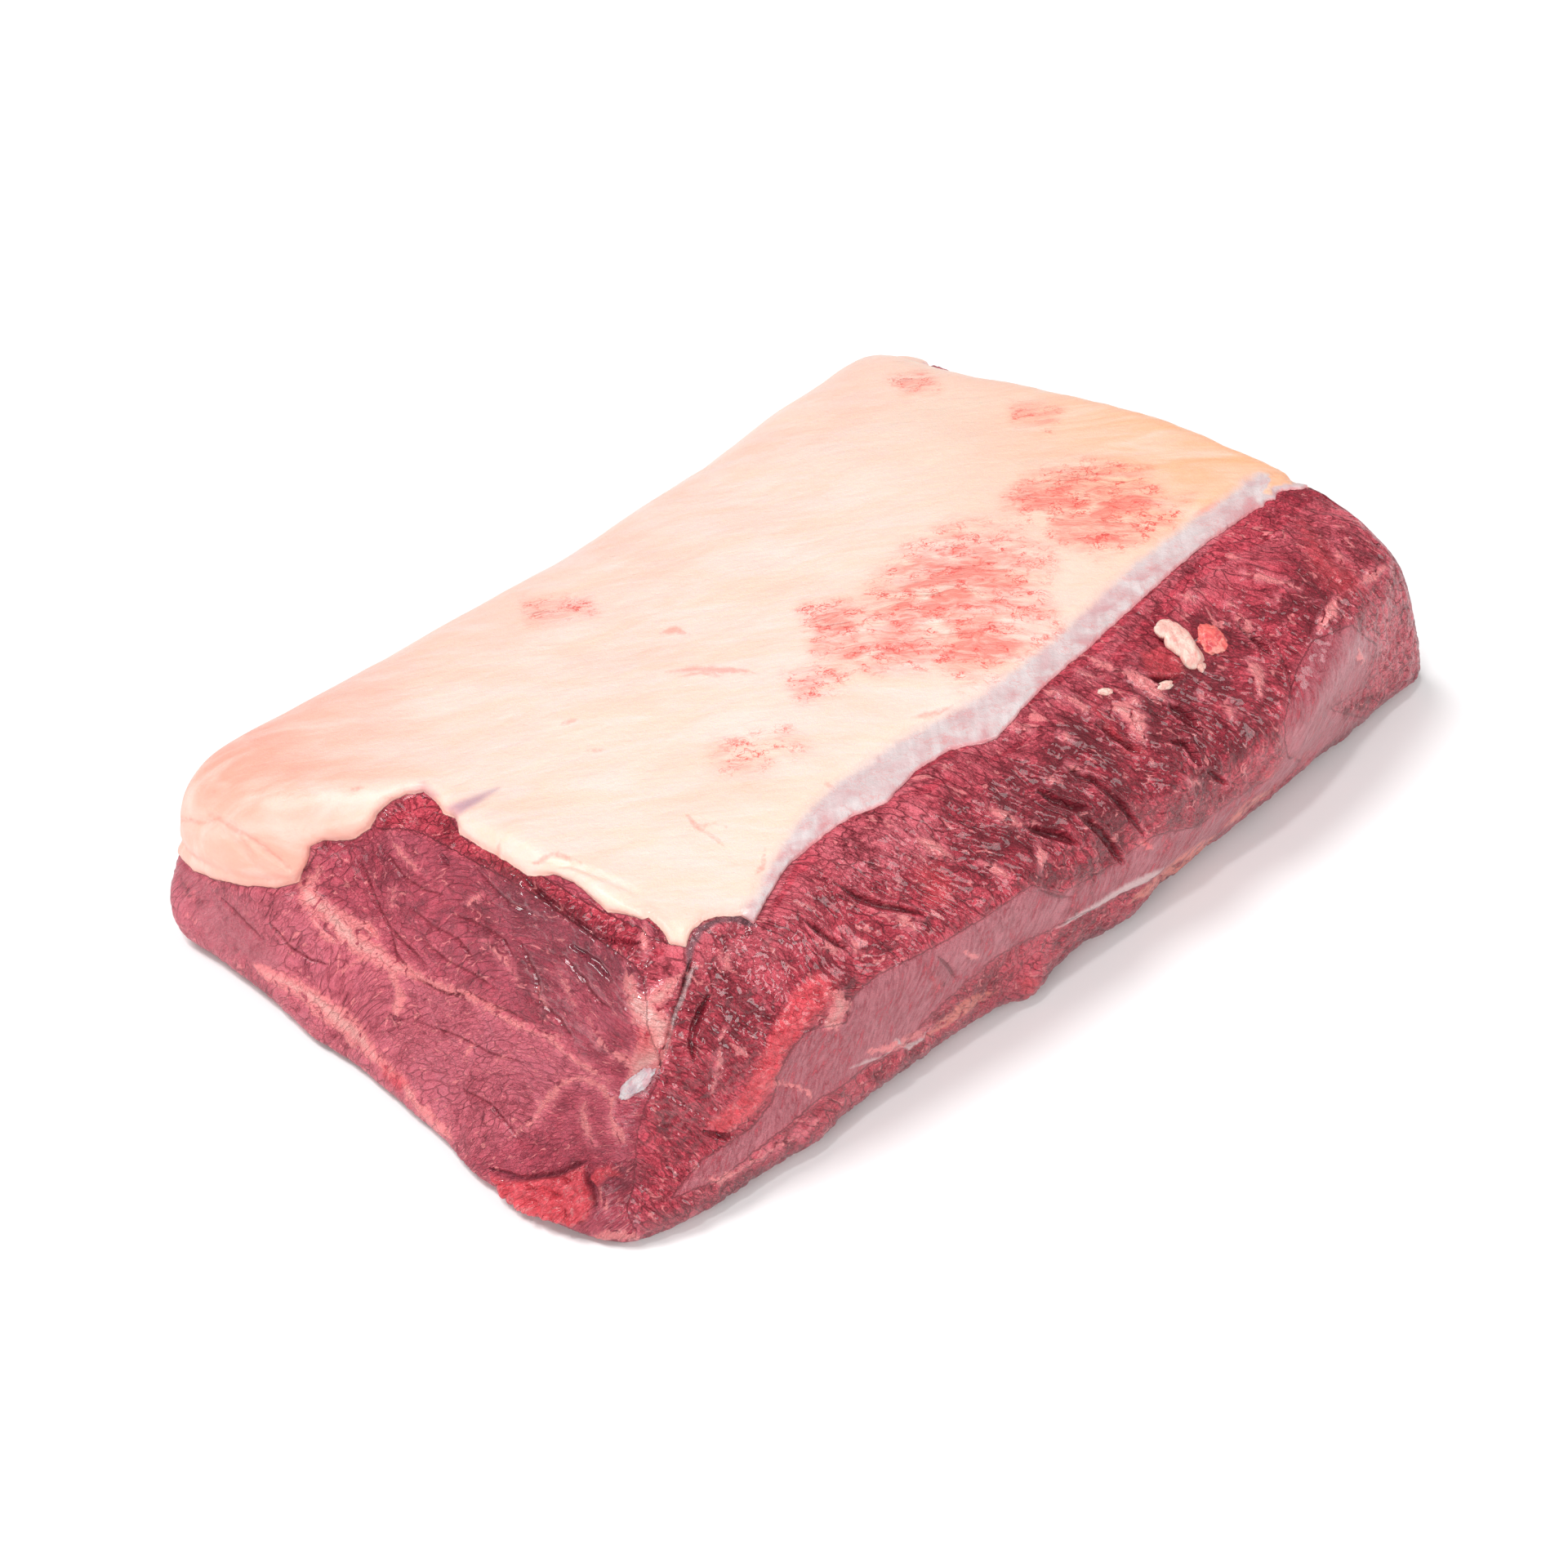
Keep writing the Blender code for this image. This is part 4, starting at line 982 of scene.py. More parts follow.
@dataclass(frozen=True)
class CoverLook:
    """The colours of the cover: creamy fat with blood-tinged patches and veins, and the silverskin beside it."""

    cream: Colour = (0.910, 0.660, 0.540, 1.0)
    milk: Colour = (0.900, 0.700, 0.620, 1.0)
    amber: Colour = (0.930, 0.450, 0.240, 1.0)
    rose: Colour = (0.930, 0.380, 0.290, 1.0)
    wash: Colour = (0.930, 0.190, 0.150, 1.0)
    vein: Colour = (0.760, 0.060, 0.050, 1.0)
    cut: Colour = (0.950, 0.480, 0.400, 1.0)
    bruise: Colour = (0.460, 0.250, 0.340, 1.0)
    pearl: Colour = (0.640, 0.510, 0.510, 1.0)
    white: Colour = (0.740, 0.640, 0.640, 1.0)
    shade: Colour = (0.620, 0.290, 0.310, 1.0)
    flow_turn: float = 0.66
    fringe: Colour = (0.720, 0.190, 0.210, 1.0)

    def build(self, effects: SharedEffects) -> bpy.types.NodeTree:
        """The group that puts out the colour, the fine relief and the roughness."""
        names = ("Rosy", "Amber", "Blood", "Bruise", "Border", "Skin", "Streak", "Seen", "Thin")
        inputs = {"Place": effects.VECTOR, "Grain": effects.VECTOR} | dict.fromkeys(names, effects.NUMBER)
        outputs = {"Color": effects.COLOUR, "Height": effects.NUMBER, "Gloss": effects.NUMBER}
        tree, graph, given, result = new_group("cover look", inputs, outputs)
        take = given.outputs
        place = take["Place"]
        along = graph.turned(place, self.flow_turn)
        flow = graph.scaled(along, (32.0, 110.0, 80.0))
        streaks = graph.noise(flow, 1.0, 5.0, 0.9)
        colour = graph.mix(graph.step(streaks, 0.34, 0.66), self.cream, self.milk)
        uneven = graph.line(graph.step(streaks, 0.80, 0.35), 0.55, 0.45)
        veins = effects.use(graph, effects.veins, Place=along)
        fine_wash = graph.step(graph.noise(graph.scaled(along, (130.0, 330.0, 260.0)), 1.0, 4.0, 0.9), 0.30, 0.72)
        wash = graph.times(take["Blood"], graph.step(veins.outputs["Wash"], 0.26, 0.60))
        wash = graph.times(wash, graph.line(fine_wash, 0.65, 0.50))
        vein = graph.times(veins.outputs["Vein"], graph.step(take["Blood"], 0.02, 0.45))
        drawn = effects.edge(graph, place, take["Streak"], 2.2, 0.6)
        sliced = graph.times(graph.step(take["Border"], 3.6, 0.2), graph.times(take["Seen"], 0.6))
        colour = graph.laid_over(
            colour,
            (graph.times(take["Amber"], graph.step(streaks, 0.20, 0.65)), self.amber),
            (graph.times(take["Rosy"], uneven), self.rose),
            (graph.math("MINIMUM", wash, 0.80), self.wash),
            (graph.times(vein, 0.85), self.vein),
            (graph.times(drawn, graph.times(take["Seen"], 0.46)), self.wash),
            (take["Bruise"], self.bruise),
            (sliced, self.cut),
        )

        fibres = graph.noise(graph.scaled(take["Grain"], (60.0, 330.0, 200.0)), 1.0, 3.0, 0.5)
        skin = graph.mix(graph.step(fibres, 0.20, 0.80), self.pearl, self.white)
        cloud = graph.noise(place, 110.0, 3.0, 0.4)
        skin = graph.laid_over(
            skin,
            (graph.times(take["Thin"], graph.step(cloud, 0.62, 0.34)), self.shade),
            (graph.times(veins.outputs["Vein"], 0.25), self.vein),
            (graph.step(take["Border"], 1.1, -0.1, 0.75), self.fringe),
        )
        is_fat = effects.edge(graph, place, take["Skin"], 3.5, 1.8)

        moist = effects.use(graph, effects.moist, Place=place).outputs["Height"]
        swells = graph.line(moist, 0.6, graph.noise(flow, 3.0, 4.0, 0.5))
        swells = graph.line(fine_wash, graph.times(take["Blood"], 1.2), swells)
        wrinkles = graph.line(fibres, 0.8, moist)
        smooth, soft = graph.line(fibres, 0.20, 0.22), graph.line(streaks, 0.18, 0.36)
        graph.feed(
            result, Color=graph.mix(is_fat, skin, colour), Height=graph.blend(is_fat, wrinkles, swells),
            Gloss=graph.blend(is_fat, smooth, soft),
        )  # fmt: skip
        return tree


@dataclass(frozen=True)
class Sheen:
    """How a finish takes the light: what stays the same all over its surface."""

    scatter: float
    scatter_depth: tuple[float, float, float]
    coat: float
    coat_roughness: float
    specular: float = 0.5


def new_material(name: str, sheen: Sheen) -> tuple[bpy.types.Material, Graph, bpy.types.Node]:
    """Starts a material.

    Args:
        name: The material's name.
        sheen: How it takes the light.

    Returns:
        The material, a graph on its nodes and its Principled BSDF.
    """
    material = bpy.data.materials.new(name)
    material.use_nodes = True
    surface = material.node_tree.nodes["Principled BSDF"]
    surface.inputs["Subsurface Weight"].default_value = sheen.scatter
    surface.inputs["Subsurface Radius"].default_value = sheen.scatter_depth
    surface.inputs["Subsurface Scale"].default_value = 1.0
    surface.inputs["Coat Weight"].default_value = sheen.coat
    surface.inputs["Coat Roughness"].default_value = sheen.coat_roughness
    surface.inputs["Specular IOR Level"].default_value = sheen.specular
    return material, Graph(material.node_tree), surface


def bump(graph: Graph, surface: bpy.types.Node, height: object, depth: float) -> None:
    """Feeds a height to a surface's normal, for relief depth metres deep."""
    made = graph.node("ShaderNodeBump", {"Height": height, "Distance": depth, "Strength": 1.0})
    graph.feed(surface, Normal=made.outputs["Normal"])


@dataclass(frozen=True)
class MeatFinish:
    """Raw red muscle with fat in it, blood on it, and a grey-pink film over parts of it."""

    deep: Colour = (0.190, 0.008, 0.020, 1.0)
    dark: Colour = (0.400, 0.024, 0.048, 1.0)
    red: Colour = (0.720, 0.074, 0.114, 1.0)
    pale: Colour = (0.850, 0.200, 0.250, 1.0)
    fat: Colour = (0.930, 0.270, 0.280, 1.0)
    fat_white: Colour = (0.940, 0.430, 0.400, 1.0)
    blood: Colour = (0.960, 0.105, 0.135, 1.0)
    clot: Colour = (0.780, 0.058, 0.080, 1.0)
    mauve: Colour = (0.480, 0.115, 0.170, 1.0)
    film: Colour = (0.300, 0.045, 0.070, 1.0)
    film_light: Colour = (0.560, 0.170, 0.205, 1.0)
    sinew: Colour = (0.780, 0.560, 0.560, 1.0)
    ochre: Colour = (0.840, 0.250, 0.210, 1.0)
    # the membrane band's grey, also painted as shade at the bottom of the chine side
    veil_and_low_shade: Colour = (0.200, 0.100, 0.120, 1.0)
    sheen: Sheen = field(default=Sheen(0.10, (0.003, 0.0008, 0.0008), 0.20, 0.08, 0.36))
    relief: float = 0.00075
    cover_share: float = 0.43

    def build(self, effects: SharedEffects) -> bpy.types.Material:
        """The material, which reads the layers painted by LeanMeat."""
        material, graph, surface = new_material("raw meat", self.sheen)
        place = graph.place()
        dark, pale, blood, wet = graph.painted("tone")
        film, ochre, veil_and_low_shade, end = graph.painted("film")
        fat_edge, sinew_edge, cover_edge, cut_edge = graph.painted("marks")

        grain = graph.node("ShaderNodeAttribute", attribute_name="grain").outputs["Vector"]
        strands = effects.use(graph, effects.strands, Grain=grain).outputs
        fine, bundle, furrow = strands["Fine"], strands["Bundle"], strands["Furrow"]
        cloud = graph.noise(place, 75.0, 4.0, 0.6)
        mottle = graph.noise(place, 320.0, 3.0, 0.8)
        level = graph.swing(bundle, 1.8)
        level = graph.swing(fine, graph.line(end, -0.9, 2.4), level)
        level = graph.swing(cloud, 2.2, level)
        level = graph.swing(mottle, 1.2, level)
        # the painted dark holds painted shade along the creases as well as darker meat
        level = graph.line(dark, -0.80, graph.math("ADD", level, 0.10))
        bare = graph.math("SUBTRACT", 1.0, film)
        specks = graph.step(graph.noise(graph.scaled(grain, (170.0, 400.0, 400.0)), 1.0, 3.0, 1.0), 0.61, 0.69, 0.75)
        blood_with_highlights = graph.mix(graph.step(mottle, 0.36, 0.58), self.clot, self.blood)
        # painted highlights: pinkish spots of the fat colour laid over the blood
        blood_with_highlights = graph.mix(graph.step(mottle, 0.57, 0.68, 0.75), blood_with_highlights, self.fat)
        colour = graph.laid_over(
            graph.mix(graph.step(level, -0.95, -0.15), self.deep, self.dark),
            (graph.step(level, -0.35, 0.45), self.red),
            (graph.times(pale, graph.step(level, -0.9, 0.6)), self.pale),
            (graph.step(level, 0.25, 1.1, 0.45), self.pale),
            (graph.times(end, graph.line(cloud, 0.7, 0.05)), self.mauve),
            (graph.times(strands["Border"], graph.times(bare, 0.45)), self.pale),
            # painted shade: the furrows between the strands are darkened towards the deep colour
            (graph.times(furrow, graph.times(bare, graph.line(end, -0.40, 0.75))), self.deep),
            (graph.times(specks, bare), self.fat),
            (graph.times(graph.step(fat_edge, -2.4, 0.3), graph.step(mottle, 0.34, 0.62, 0.75)), self.pale),
            (graph.times(blood, graph.line(graph.step(level, -0.9, 0.3), 0.35, 0.60)), blood_with_highlights),
        )

        streaky = graph.noise(graph.scaled(grain, (170.0, 820.0, 820.0)), 1.0, 4.0, 0.9)
        film_tone = graph.mix(graph.step(graph.swing(cloud, 0.5, streaky), 0.30, 0.70), self.film, self.film_light)
        film_mask = graph.times(film, graph.step(graph.math("ADD", cloud, streaky), 0.72, 1.00))
        colour = graph.laid_over(
            colour,
            (graph.times(film_mask, 0.88), film_tone),
            (graph.times(ochre, graph.step(mottle, 0.30, 0.56)), self.ochre),
            # the veil layer: the membrane band, and painted shade along the bottom of the chine side
            (graph.times(veil_and_low_shade, 0.8), self.veil_and_low_shade),
            # painted shade: the insides of slashes and cracks are darkened towards the deep colour
            (graph.step(cut_edge, -0.28, 0.28, 0.72), self.deep),
            (graph.times(effects.edge(graph, place, sinew_edge, 1.4, 0.5), 0.85), self.sinew),
        )

        thick = graph.swing(mottle, 4.0, fat_edge)
        fat_tone = graph.mix(graph.step(thick, 0.8, 3.4), self.fat, self.fat_white)
        fat_tone = graph.mix(graph.times(blood, 0.75), fat_tone, blood_with_highlights)
        islands = graph.step(graph.line(fat_edge, 0.035, mottle), 0.36, 0.46, 0.94)
        fat = graph.times(effects.edge(graph, place, fat_edge, 6.5, 0.55), islands)
        colour = graph.mix(fat, colour, fat_tone)
        cap = effects.edge(graph, place, cover_edge, 1.1, 0.16)
        over = effects.use_cover(graph).outputs
        gloss = graph.line(mottle, 0.20, graph.line(wet, -0.16, 0.40))
        gloss = graph.line(film, -0.06, gloss)
        coat = graph.line(wet, 0.80, self.sheen.coat)
        graph.feed(
            surface, Base_Color=graph.mix(cap, colour, over["Color"]), Roughness=graph.blend(cap, gloss, over["Gloss"]),
            Coat_Weight=graph.blend(cap, coat, 0.25),
        )  # fmt: skip
        moist = effects.use(graph, effects.moist, Place=place).outputs["Height"]
        height = graph.line(moist, graph.line(wet, 1.9, 0.9), fine)
        height = graph.line(furrow, graph.times(bare, -0.9), height)
        height = graph.line(bundle, graph.line(film, -0.8, 1.3), height)
        height = graph.line(fat, 0.5, height)
        height = graph.line(mottle, graph.times(blood, 1.6), height)
        cover_height = graph.times(over["Height"], self.cover_share)
        bump(graph, surface, graph.blend(cap, height, cover_height), self.relief)
        return material


@dataclass(frozen=True)
class CoverFinish:
    """The look of the cover with the sheen of one of its parts: fat, or the glossier silverskin."""

    name: str
    sheen: Sheen
    relief: float

    def build(self, effects: SharedEffects) -> bpy.types.Material:
        """The material, which reads the layers painted by FatCover and Silverskin."""
        material, graph, surface = new_material(self.name, self.sheen)
        look = effects.use_cover(graph).outputs
        graph.feed(surface, Base_Color=look["Color"], Roughness=look["Gloss"])
        bump(graph, surface, look["Height"], self.relief)
        return material


class ScrapKind(Enum):
    """What a loose scrap on the meat is made of."""

    FAT = "pale fat"
    MEAT = "red meat"
    SINEW = "white sinew"


@dataclass(frozen=True)
class ScrapFinish:
    """A small ragged scrap: two tones in soft lumps, with blood in its folds."""

    kind: ScrapKind
    light: Colour
    shade: Colour
    stain: Colour
    stained: float
    sheen: Sheen = field(default=Sheen(0.25, (0.003, 0.0012, 0.0010), 0.35, 0.20))

    def build(self, effects: SharedEffects) -> bpy.types.Material:
        """The material."""
        material, graph, surface = new_material(self.kind.value, self.sheen)
        place = graph.place()
        lumps = graph.noise(place, 330.0, 3.0, 0.6)
        colour = graph.mix(graph.step(lumps, 0.36, 0.60), self.shade, self.light)
        folds = graph.step(graph.noise(place, 240.0, 3.0, 1.0), 0.50, 0.66)
        colour = graph.mix(graph.times(folds, self.stained), colour, self.stain)
        graph.feed(surface, Base_Color=colour, Roughness=graph.line(lumps, 0.25, 0.22))
        moist = effects.use(graph, effects.moist, Place=place).outputs["Height"]
        bump(graph, surface, graph.math("ADD", lumps, moist), 0.00045)
        return material


# ------------------------------------------------------------------ the joined surface
@dataclass(frozen=True)
class Rim:
    """How a layer's border stands on what it lies on: a rounded step up, and a shallow groove before it."""

    step: float
    width: float
    groove: float

    def height(self, depth: np.ndarray) -> np.ndarray:
        """How far the surface stands out at a depth in millimetres inside the border, in metres."""
        risen = 1.0 - (1.0 - np.clip(depth / self.width, 0.0, 1.0)) ** 2
        return self.step * risen - self.groove * np.exp(-((depth / 1.1) ** 2)) * (depth < 0.5)


@dataclass
class Block:
    """The outer surface of meat, fat and silverskin as one closed mesh, which is cut into pieces in the end.

    Its borders are distances in millimetres, positive inside: whole for all of the cover, fat for the fat.
    They come from the photograph where it shows them, and from the solids where it doesn't.
    """

    nodes: tuple[str, ...] = ("lean", "fat_cap", "silverskin")
    cell: float = 0.0012
    front_facing: float = -0.35
    fine_inside: float = 5.0
    seam_inside: float = 0.9
    tear: float = 0.35
    bridged: float = 0.0013
    tear_cell: float = 0.006
    shown_facing: tuple[float, float] = (-0.05, 0.12)
    far_rim: float = 0.120
    far_rim_softness: float = 0.015
    end_facing: tuple[float, float] = (0.04, 0.14)
    rim_step: float = 0.005
    rim_half_band: float = 0.007
    rim_depth: float = 0.010
    rim_margin: float = 0.001
    closing: tuple[float, float] = (0.22, 0.78)
    spread_rounds: int = 24
    spread_mm: float = 7.4
    kept_below: float = 0.04
    spot_size: int = 24

    def __post_init__(self) -> None:
        """Joins the solids, bridges the clearances between them and measures the result."""
        parts = [copy_node(node, "block") for node in self.nodes]
        for part in parts:
            finish_modifier(part, "SUBSURF", levels=2, render_levels=2)
            finish_modifier(part, "DISPLACE", strength=self.bridged, mid_level=0.0)
        bpy.ops.object.select_all(action="DESELECT")
        for part in parts:
            part.select_set(True)
        bpy.context.view_layer.objects.active = parts[0]
        bpy.ops.object.join()
        self.piece = parts[0]
        finish_modifier(self.piece, "REMESH", mode="VOXEL", voxel_size=self.cell)
        self._keep_largest()
        finish_modifier(self.piece, "SMOOTH", factor=0.5, iterations=5)
        finish_modifier(self.piece, "DISPLACE", strength=-self.bridged, mid_level=0.0)
        finish_modifier(self.piece, "SMOOTH", factor=0.5, iterations=4)
        self.measure()
        fine = (self.turned > self.front_facing) & ~self.underside() & (self.whole < self.fine_inside)
        refine(self.piece, fine)
        self.measure()

    def _keep_largest(self) -> None:
        """Takes away the closed bubbles left between the solids."""
        take_only(self.piece)
        bpy.ops.mesh.separate(type="LOOSE")
        shells = sorted(bpy.context.selected_objects, key=lambda shell: len(shell.data.vertices))
        self.piece = shells.pop()
        for shell in shells:
            bpy.data.objects.remove(shell)

    def measure(self) -> None:
        """Reads the surface's places, directions and borders."""
        self.points, self.normals = points_of(self.piece), normals_of(self.piece)
        self.pixels = VIEW.pixels(self.points)
        self.turned = facing(self.points, self.normals)
        self.seen = self.turned > 0.0
        shown = smooth_step(*self.shown_facing, self.turned)
        solid = self._depth_in_solid()
        torn = self.tear * layered_noise(self.points / self.tear_cell, 3, 71)
        outlines = (FAT_AND_SKIN_OUTLINE, FAT_OUTLINE)
        drawn = [np.clip(distance_inside(self.pixels, outline) / VIEW.px_per_mm, -30, 30) for outline in outlines]
        self.whole, self.fat = (depth * shown + solid * (1.0 - shown) + torn for depth in drawn)
        over_the_end = smooth_step(*self.end_facing, self.normals[:, 0])
        over_the_end *= smooth_step(self.far_rim - self.far_rim_softness, self.far_rim, self.points[:, 0])
        self.whole += over_the_end * (self._above_rim("fat_cap", "silverskin") + torn - self.whole)
        self.fat += over_the_end * (self._above_rim("fat_cap") + torn - self.fat)
        self.on_skin_side = smooth_step(-12.0, 12.0, self.pixels[:, 0] - SKIN_INNER_BORDER[0][0]) * self.seen

    def _above_rim(self, *nodes: str) -> np.ndarray:
        """How far each place lies above the lower edge of the cover's solids at the far end, in millimetres.

        Args:
            nodes: The solids that count as cover.

        Returns:
            Heights up to about 4, negative below the edge and beside the cover.
        """
        solid = np.vstack([points_of(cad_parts[node]) for node in nodes])
        solid = solid[solid[:, 0] > self.far_rim]
        places, lowest = [], []
        for y in np.arange(solid[:, 1].min() + 0.004, solid[:, 1].max(), self.rim_step):
            band = solid[np.abs(solid[:, 1] - y) < self.rim_half_band]
            if len(band):
                places.append(y)
                lowest.append(band[band[:, 0] > band[:, 0].max() - self.rim_depth, 2].min())
        lowest = [min(lowest[max(number - 1, 0) : number + 2]) for number in range(len(lowest))]
        above = self.points[:, 2] - np.interp(self.points[:, 1], places, lowest) + self.rim_margin
        return np.clip(1000.0 * np.minimum(above, self.points[:, 1] - solid[:, 1].min()), -4.0, 4.0)

    def _depth_in_solid(self) -> np.ndarray:
        """How far each place lies inside the solid fat's own border, in millimetres up to about 4."""
        to_fat, to_lean = (gap_to(self.points, tree_of(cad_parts[node]), 0.02) for node in ("fat_cap", "lean"))
        inside = (to_fat < to_lean).astype(float)
        for share in self.closing:
            inside = (spread(self.piece, inside, self.spread_rounds) > share).astype(float)
        return self.spread_mm * (spread(self.piece, inside, self.spread_rounds) - 0.5)

    def underside(self) -> np.ndarray:
        """Whether each vertex is on the face that the meat rests on."""
        return (self.normals[:, 2] < -0.7) & (self.points[:, 2] < 0.002)

    def raise_by(self, height: np.ndarray) -> None:
        """Moves the surface out by a height for each vertex, but never below the floor."""
        moved = self.points + self.normals * height[:, None]
        moved[:, 2] = np.maximum(moved[:, 2], 0.0)
        move_points(self.piece, moved)
        self.points = moved

    def spot(self, pixel: tuple[float, float]) -> tuple[Vector, Vector]:
        """The place that a pixel of the photograph shows, and the surface's direction there."""
        gap = np.where(self.seen, np.linalg.norm(self.pixels - pixel, axis=1), np.inf)
        near = np.argsort(gap)[: self.spot_size]
        return Vector(self.points[near].mean(axis=0)), Vector(self.normals[near].mean(axis=0)).normalized()

    def cut(self) -> dict[str, bpy.types.Object]:
        """Cuts the surface into its pieces along the borders.

        Returns:
            The pieces by name.
        """
        store_vectors(self.piece, "outward", normals_of(self.piece))
        paint(self.piece, "cutting", self.whole, self.fat, self.turned, self.points[:, 0])
        thin_out(self.piece, self.underside(), self.kept_below)
        pieces = {}
        for name in ("fat_cover", "silver_skin", "meat_near", "meat_middle", "meat_far"):
            whole, fat, turned, along = read_layer(self.piece, "cutting")
            front = turned > self.front_facing
            chosen = {
                "fat_cover": np.minimum(whole, fat) > self.seam_inside,
                "silver_skin": whole > self.seam_inside,
                "meat_near": front & (along < LeanMeat.near_reach),
                "meat_middle": front & (along < LeanMeat.middle_reach),
                "meat_far": front,
            }[name]
            pieces[name] = part_off(self.piece, chosen, name)
        self.piece.name = self.piece.data.name = "meat_rest"
        pieces["meat_rest"] = self.piece
        for piece in pieces.values():
            piece.data.attributes.remove(piece.data.attributes["cutting"])
        return pieces


# ------------------------------------------------------------------ the meat
@dataclass
class LeanMeat:
    """The block of muscle: strands, slashes and seams raised on the bare part of the surface."""

    near_reach = -0.112
    middle_reach = 0.055

    finish: MeatFinish = field(default_factory=MeatFinish)
    strand_height: float = 0.00070
    lump_height: float = 0.00075
    fine_height: float = 0.00016
    fat_height: float = 0.00035
    slash_depth: float = 0.0019
    crease_depth: float = 0.0018
    flap_height: float = 0.0022
    wet_height: float = 0.0004
    lip_height: float = 0.0007
    crack_depth: float = 0.0007
    sinew_height: float = 0.0005
    end_relief: float = 0.45
    end_facing: tuple[float, float] = (0.50, 0.72)
    chine_grain: tuple[float, float, float] = (0.60, -0.57, -0.56)
    fibre_focus: tuple[float, float] = (-0.118, 0.036)
    end_shortening: float = 1.7

    def _grains(self, points: np.ndarray) -> tuple[np.ndarray, np.ndarray, np.ndarray]:
        """Coordinates along the fibres, across them and into them: on the chine side, the cut end and the film."""
        drift = 0.006 * np.column_stack([soft_noise(points / 0.030, seed) for seed in (1, 2, 3)])
        moved = points + drift
        along = np.array(self.chine_grain)
        across = np.cross((0.0, -0.71, 0.71), along)
        chine = np.column_stack([moved @ along, moved @ across, moved @ np.cross(along, across)])
        side, up = moved[:, 1] - self.fibre_focus[0], moved[:, 2] - self.fibre_focus[1]
        reach = np.hypot(side, up)
        turn = np.arctan2(up, side) + 6.0 * reach
        end = np.column_stack([self.end_shortening * reach, 0.10 * turn, moved[:, 0]])
        x, y, z = moved.T
        film = np.column_stack([0.87 * z + 0.49 * x, 0.87 * x - 0.49 * z, y])
        return chine, end, film

    def _relief(self, points: np.ndarray, grain: np.ndarray, film: np.ndarray, wet: np.ndarray) -> np.ndarray:
        """How far the bare surface stands out: strands, soft lumps and a fine unevenness, in metres."""
        strands = ridges(grain / (0.022, 0.0042, 0.0070), 5) - 0.65
        threads = ridges(grain / (0.010, 0.0019, 0.0032), 9) - 0.65
        lumps = layered_noise(points / 0.012, 3, 3)
        fine = layered_noise(points / 0.0020, 2, 7)
        bare = 1.0 - 0.80 * film
        height = self.strand_height * (strands + 0.45 * threads) * bare
        height += self.lump_height * lumps * (1.0 - 0.45 * film)
        return height + self.fine_height * fine * (bare + 2.0 * wet)

    def dress(self, block: Block) -> np.ndarray:
        """Paints the layers that the finish reads.

        Args:
            block: The joined surface.

        Returns:
            How far the bare surface stands out at each vertex.
        """
        points, normals, pixels, seen = block.points, block.normals, block.pixels, block.seen
        hidden = np.where(seen, 0.0, -20.0)
        film = np.maximum(FILM.mask(pixels), 0.9 * FAR_FILM.mask(pixels)) * seen
        corner = CORNER_MUSCLE.mask(pixels) * seen
        wet = np.maximum(0.7 * corner, cover(pixels, WET_PATCHES) * seen)
        end = smooth_step(*self.end_facing, np.abs(normals[:, 0]))
        chine_grain, end_grain, film_grain = self._grains(points)
        slash = deepest(pixels, SLASHES) + hidden
        cracks = deepest(pixels, FINE_CRACKS) + hidden
        crease = deepest(pixels, NEAR_CREASES) + hidden
        fat = np.maximum(deepest(pixels, NEAR_CUT_FAT), deepest(pixels, CHINE_FAT)) + hidden
        sinew = deepest(pixels, SINEW_LINES) + hidden
        flap = np.maximum(TORN_FLAP.mask(pixels), TORN_LUMP.mask(pixels)) * seen

        height = self._relief(points, chine_grain, film, wet) * (1.0 - end)
        height += self.end_relief * self._relief(points, end_grain, film, wet) * end
        height += self.wet_height * wet * layered_noise(points / 0.0040, 3, 19)
        height -= self.slash_depth * smooth_step(-0.5, 0.7, slash)
        height += self.lip_height * smooth_step(-2.2, -1.0, slash) * smooth_step(-0.2, -0.9, slash)
        height -= self.crack_depth * smooth_step(-0.7, 0.3, cracks)
        height -= self.crease_depth * smooth_step(-0.7, 0.7, crease)
        height += self.fat_height * smooth_step(-0.4, 0.8, fat)
        height += self.sinew_height * smooth_step(-0.5, 0.5, sinew)
        folds = 0.2 + 0.9 * ridges(points / 0.0055, 17) + 0.4 * layered_noise(points / 0.0025, 2, 18)
        height += self.flap_height * flap * folds
        height *= smooth_step(-0.2, -2.6, block.whole) * smooth_step(0.0, 0.004, points[:, 2])

        patchy = 0.5 + 0.5 * soft_noise(points / 0.028, 12)
        # painted shade: the meat is darkened along the creases
        dark = smooth_step(-1.0, 0.4, crease)
        on_chine = (normals[:, 1] < -0.3) & (end < 0.5)
        dark = np.maximum(dark, np.where(on_chine, 0.35, 0.15) * (1.0 - film) * patchy)
        dark = np.maximum(dark, 0.95 * cover(pixels, CHINE_DARK) * (1.0 - film) * (0.6 + 0.5 * patchy) * seen)
        dark = np.maximum(dark, 0.45 * NEAR_DARK.mask(pixels) * (0.6 + 0.5 * patchy) * seen)
        dark = np.maximum(dark, 0.60 * cover(pixels, DARK_PATCHES) * seen)
        dark = np.maximum(dark, 0.25 * corner)
        # painted highlight: the raised lips of the slashes are painted paler
        lip = smooth_step(-2.2, -1.2, slash) * smooth_step(-0.4, -1.0, slash)
        pale = np.maximum.reduce([0.8 * cover(pixels, PALE_PATCHES), 0.55 * lip, 0.6 * flap]) * seen
        blood = np.maximum.reduce([0.8 * cover(pixels, BLOOD_PATCHES), flap, 0.95 * RED_STRIP.mask(pixels)]) * seen
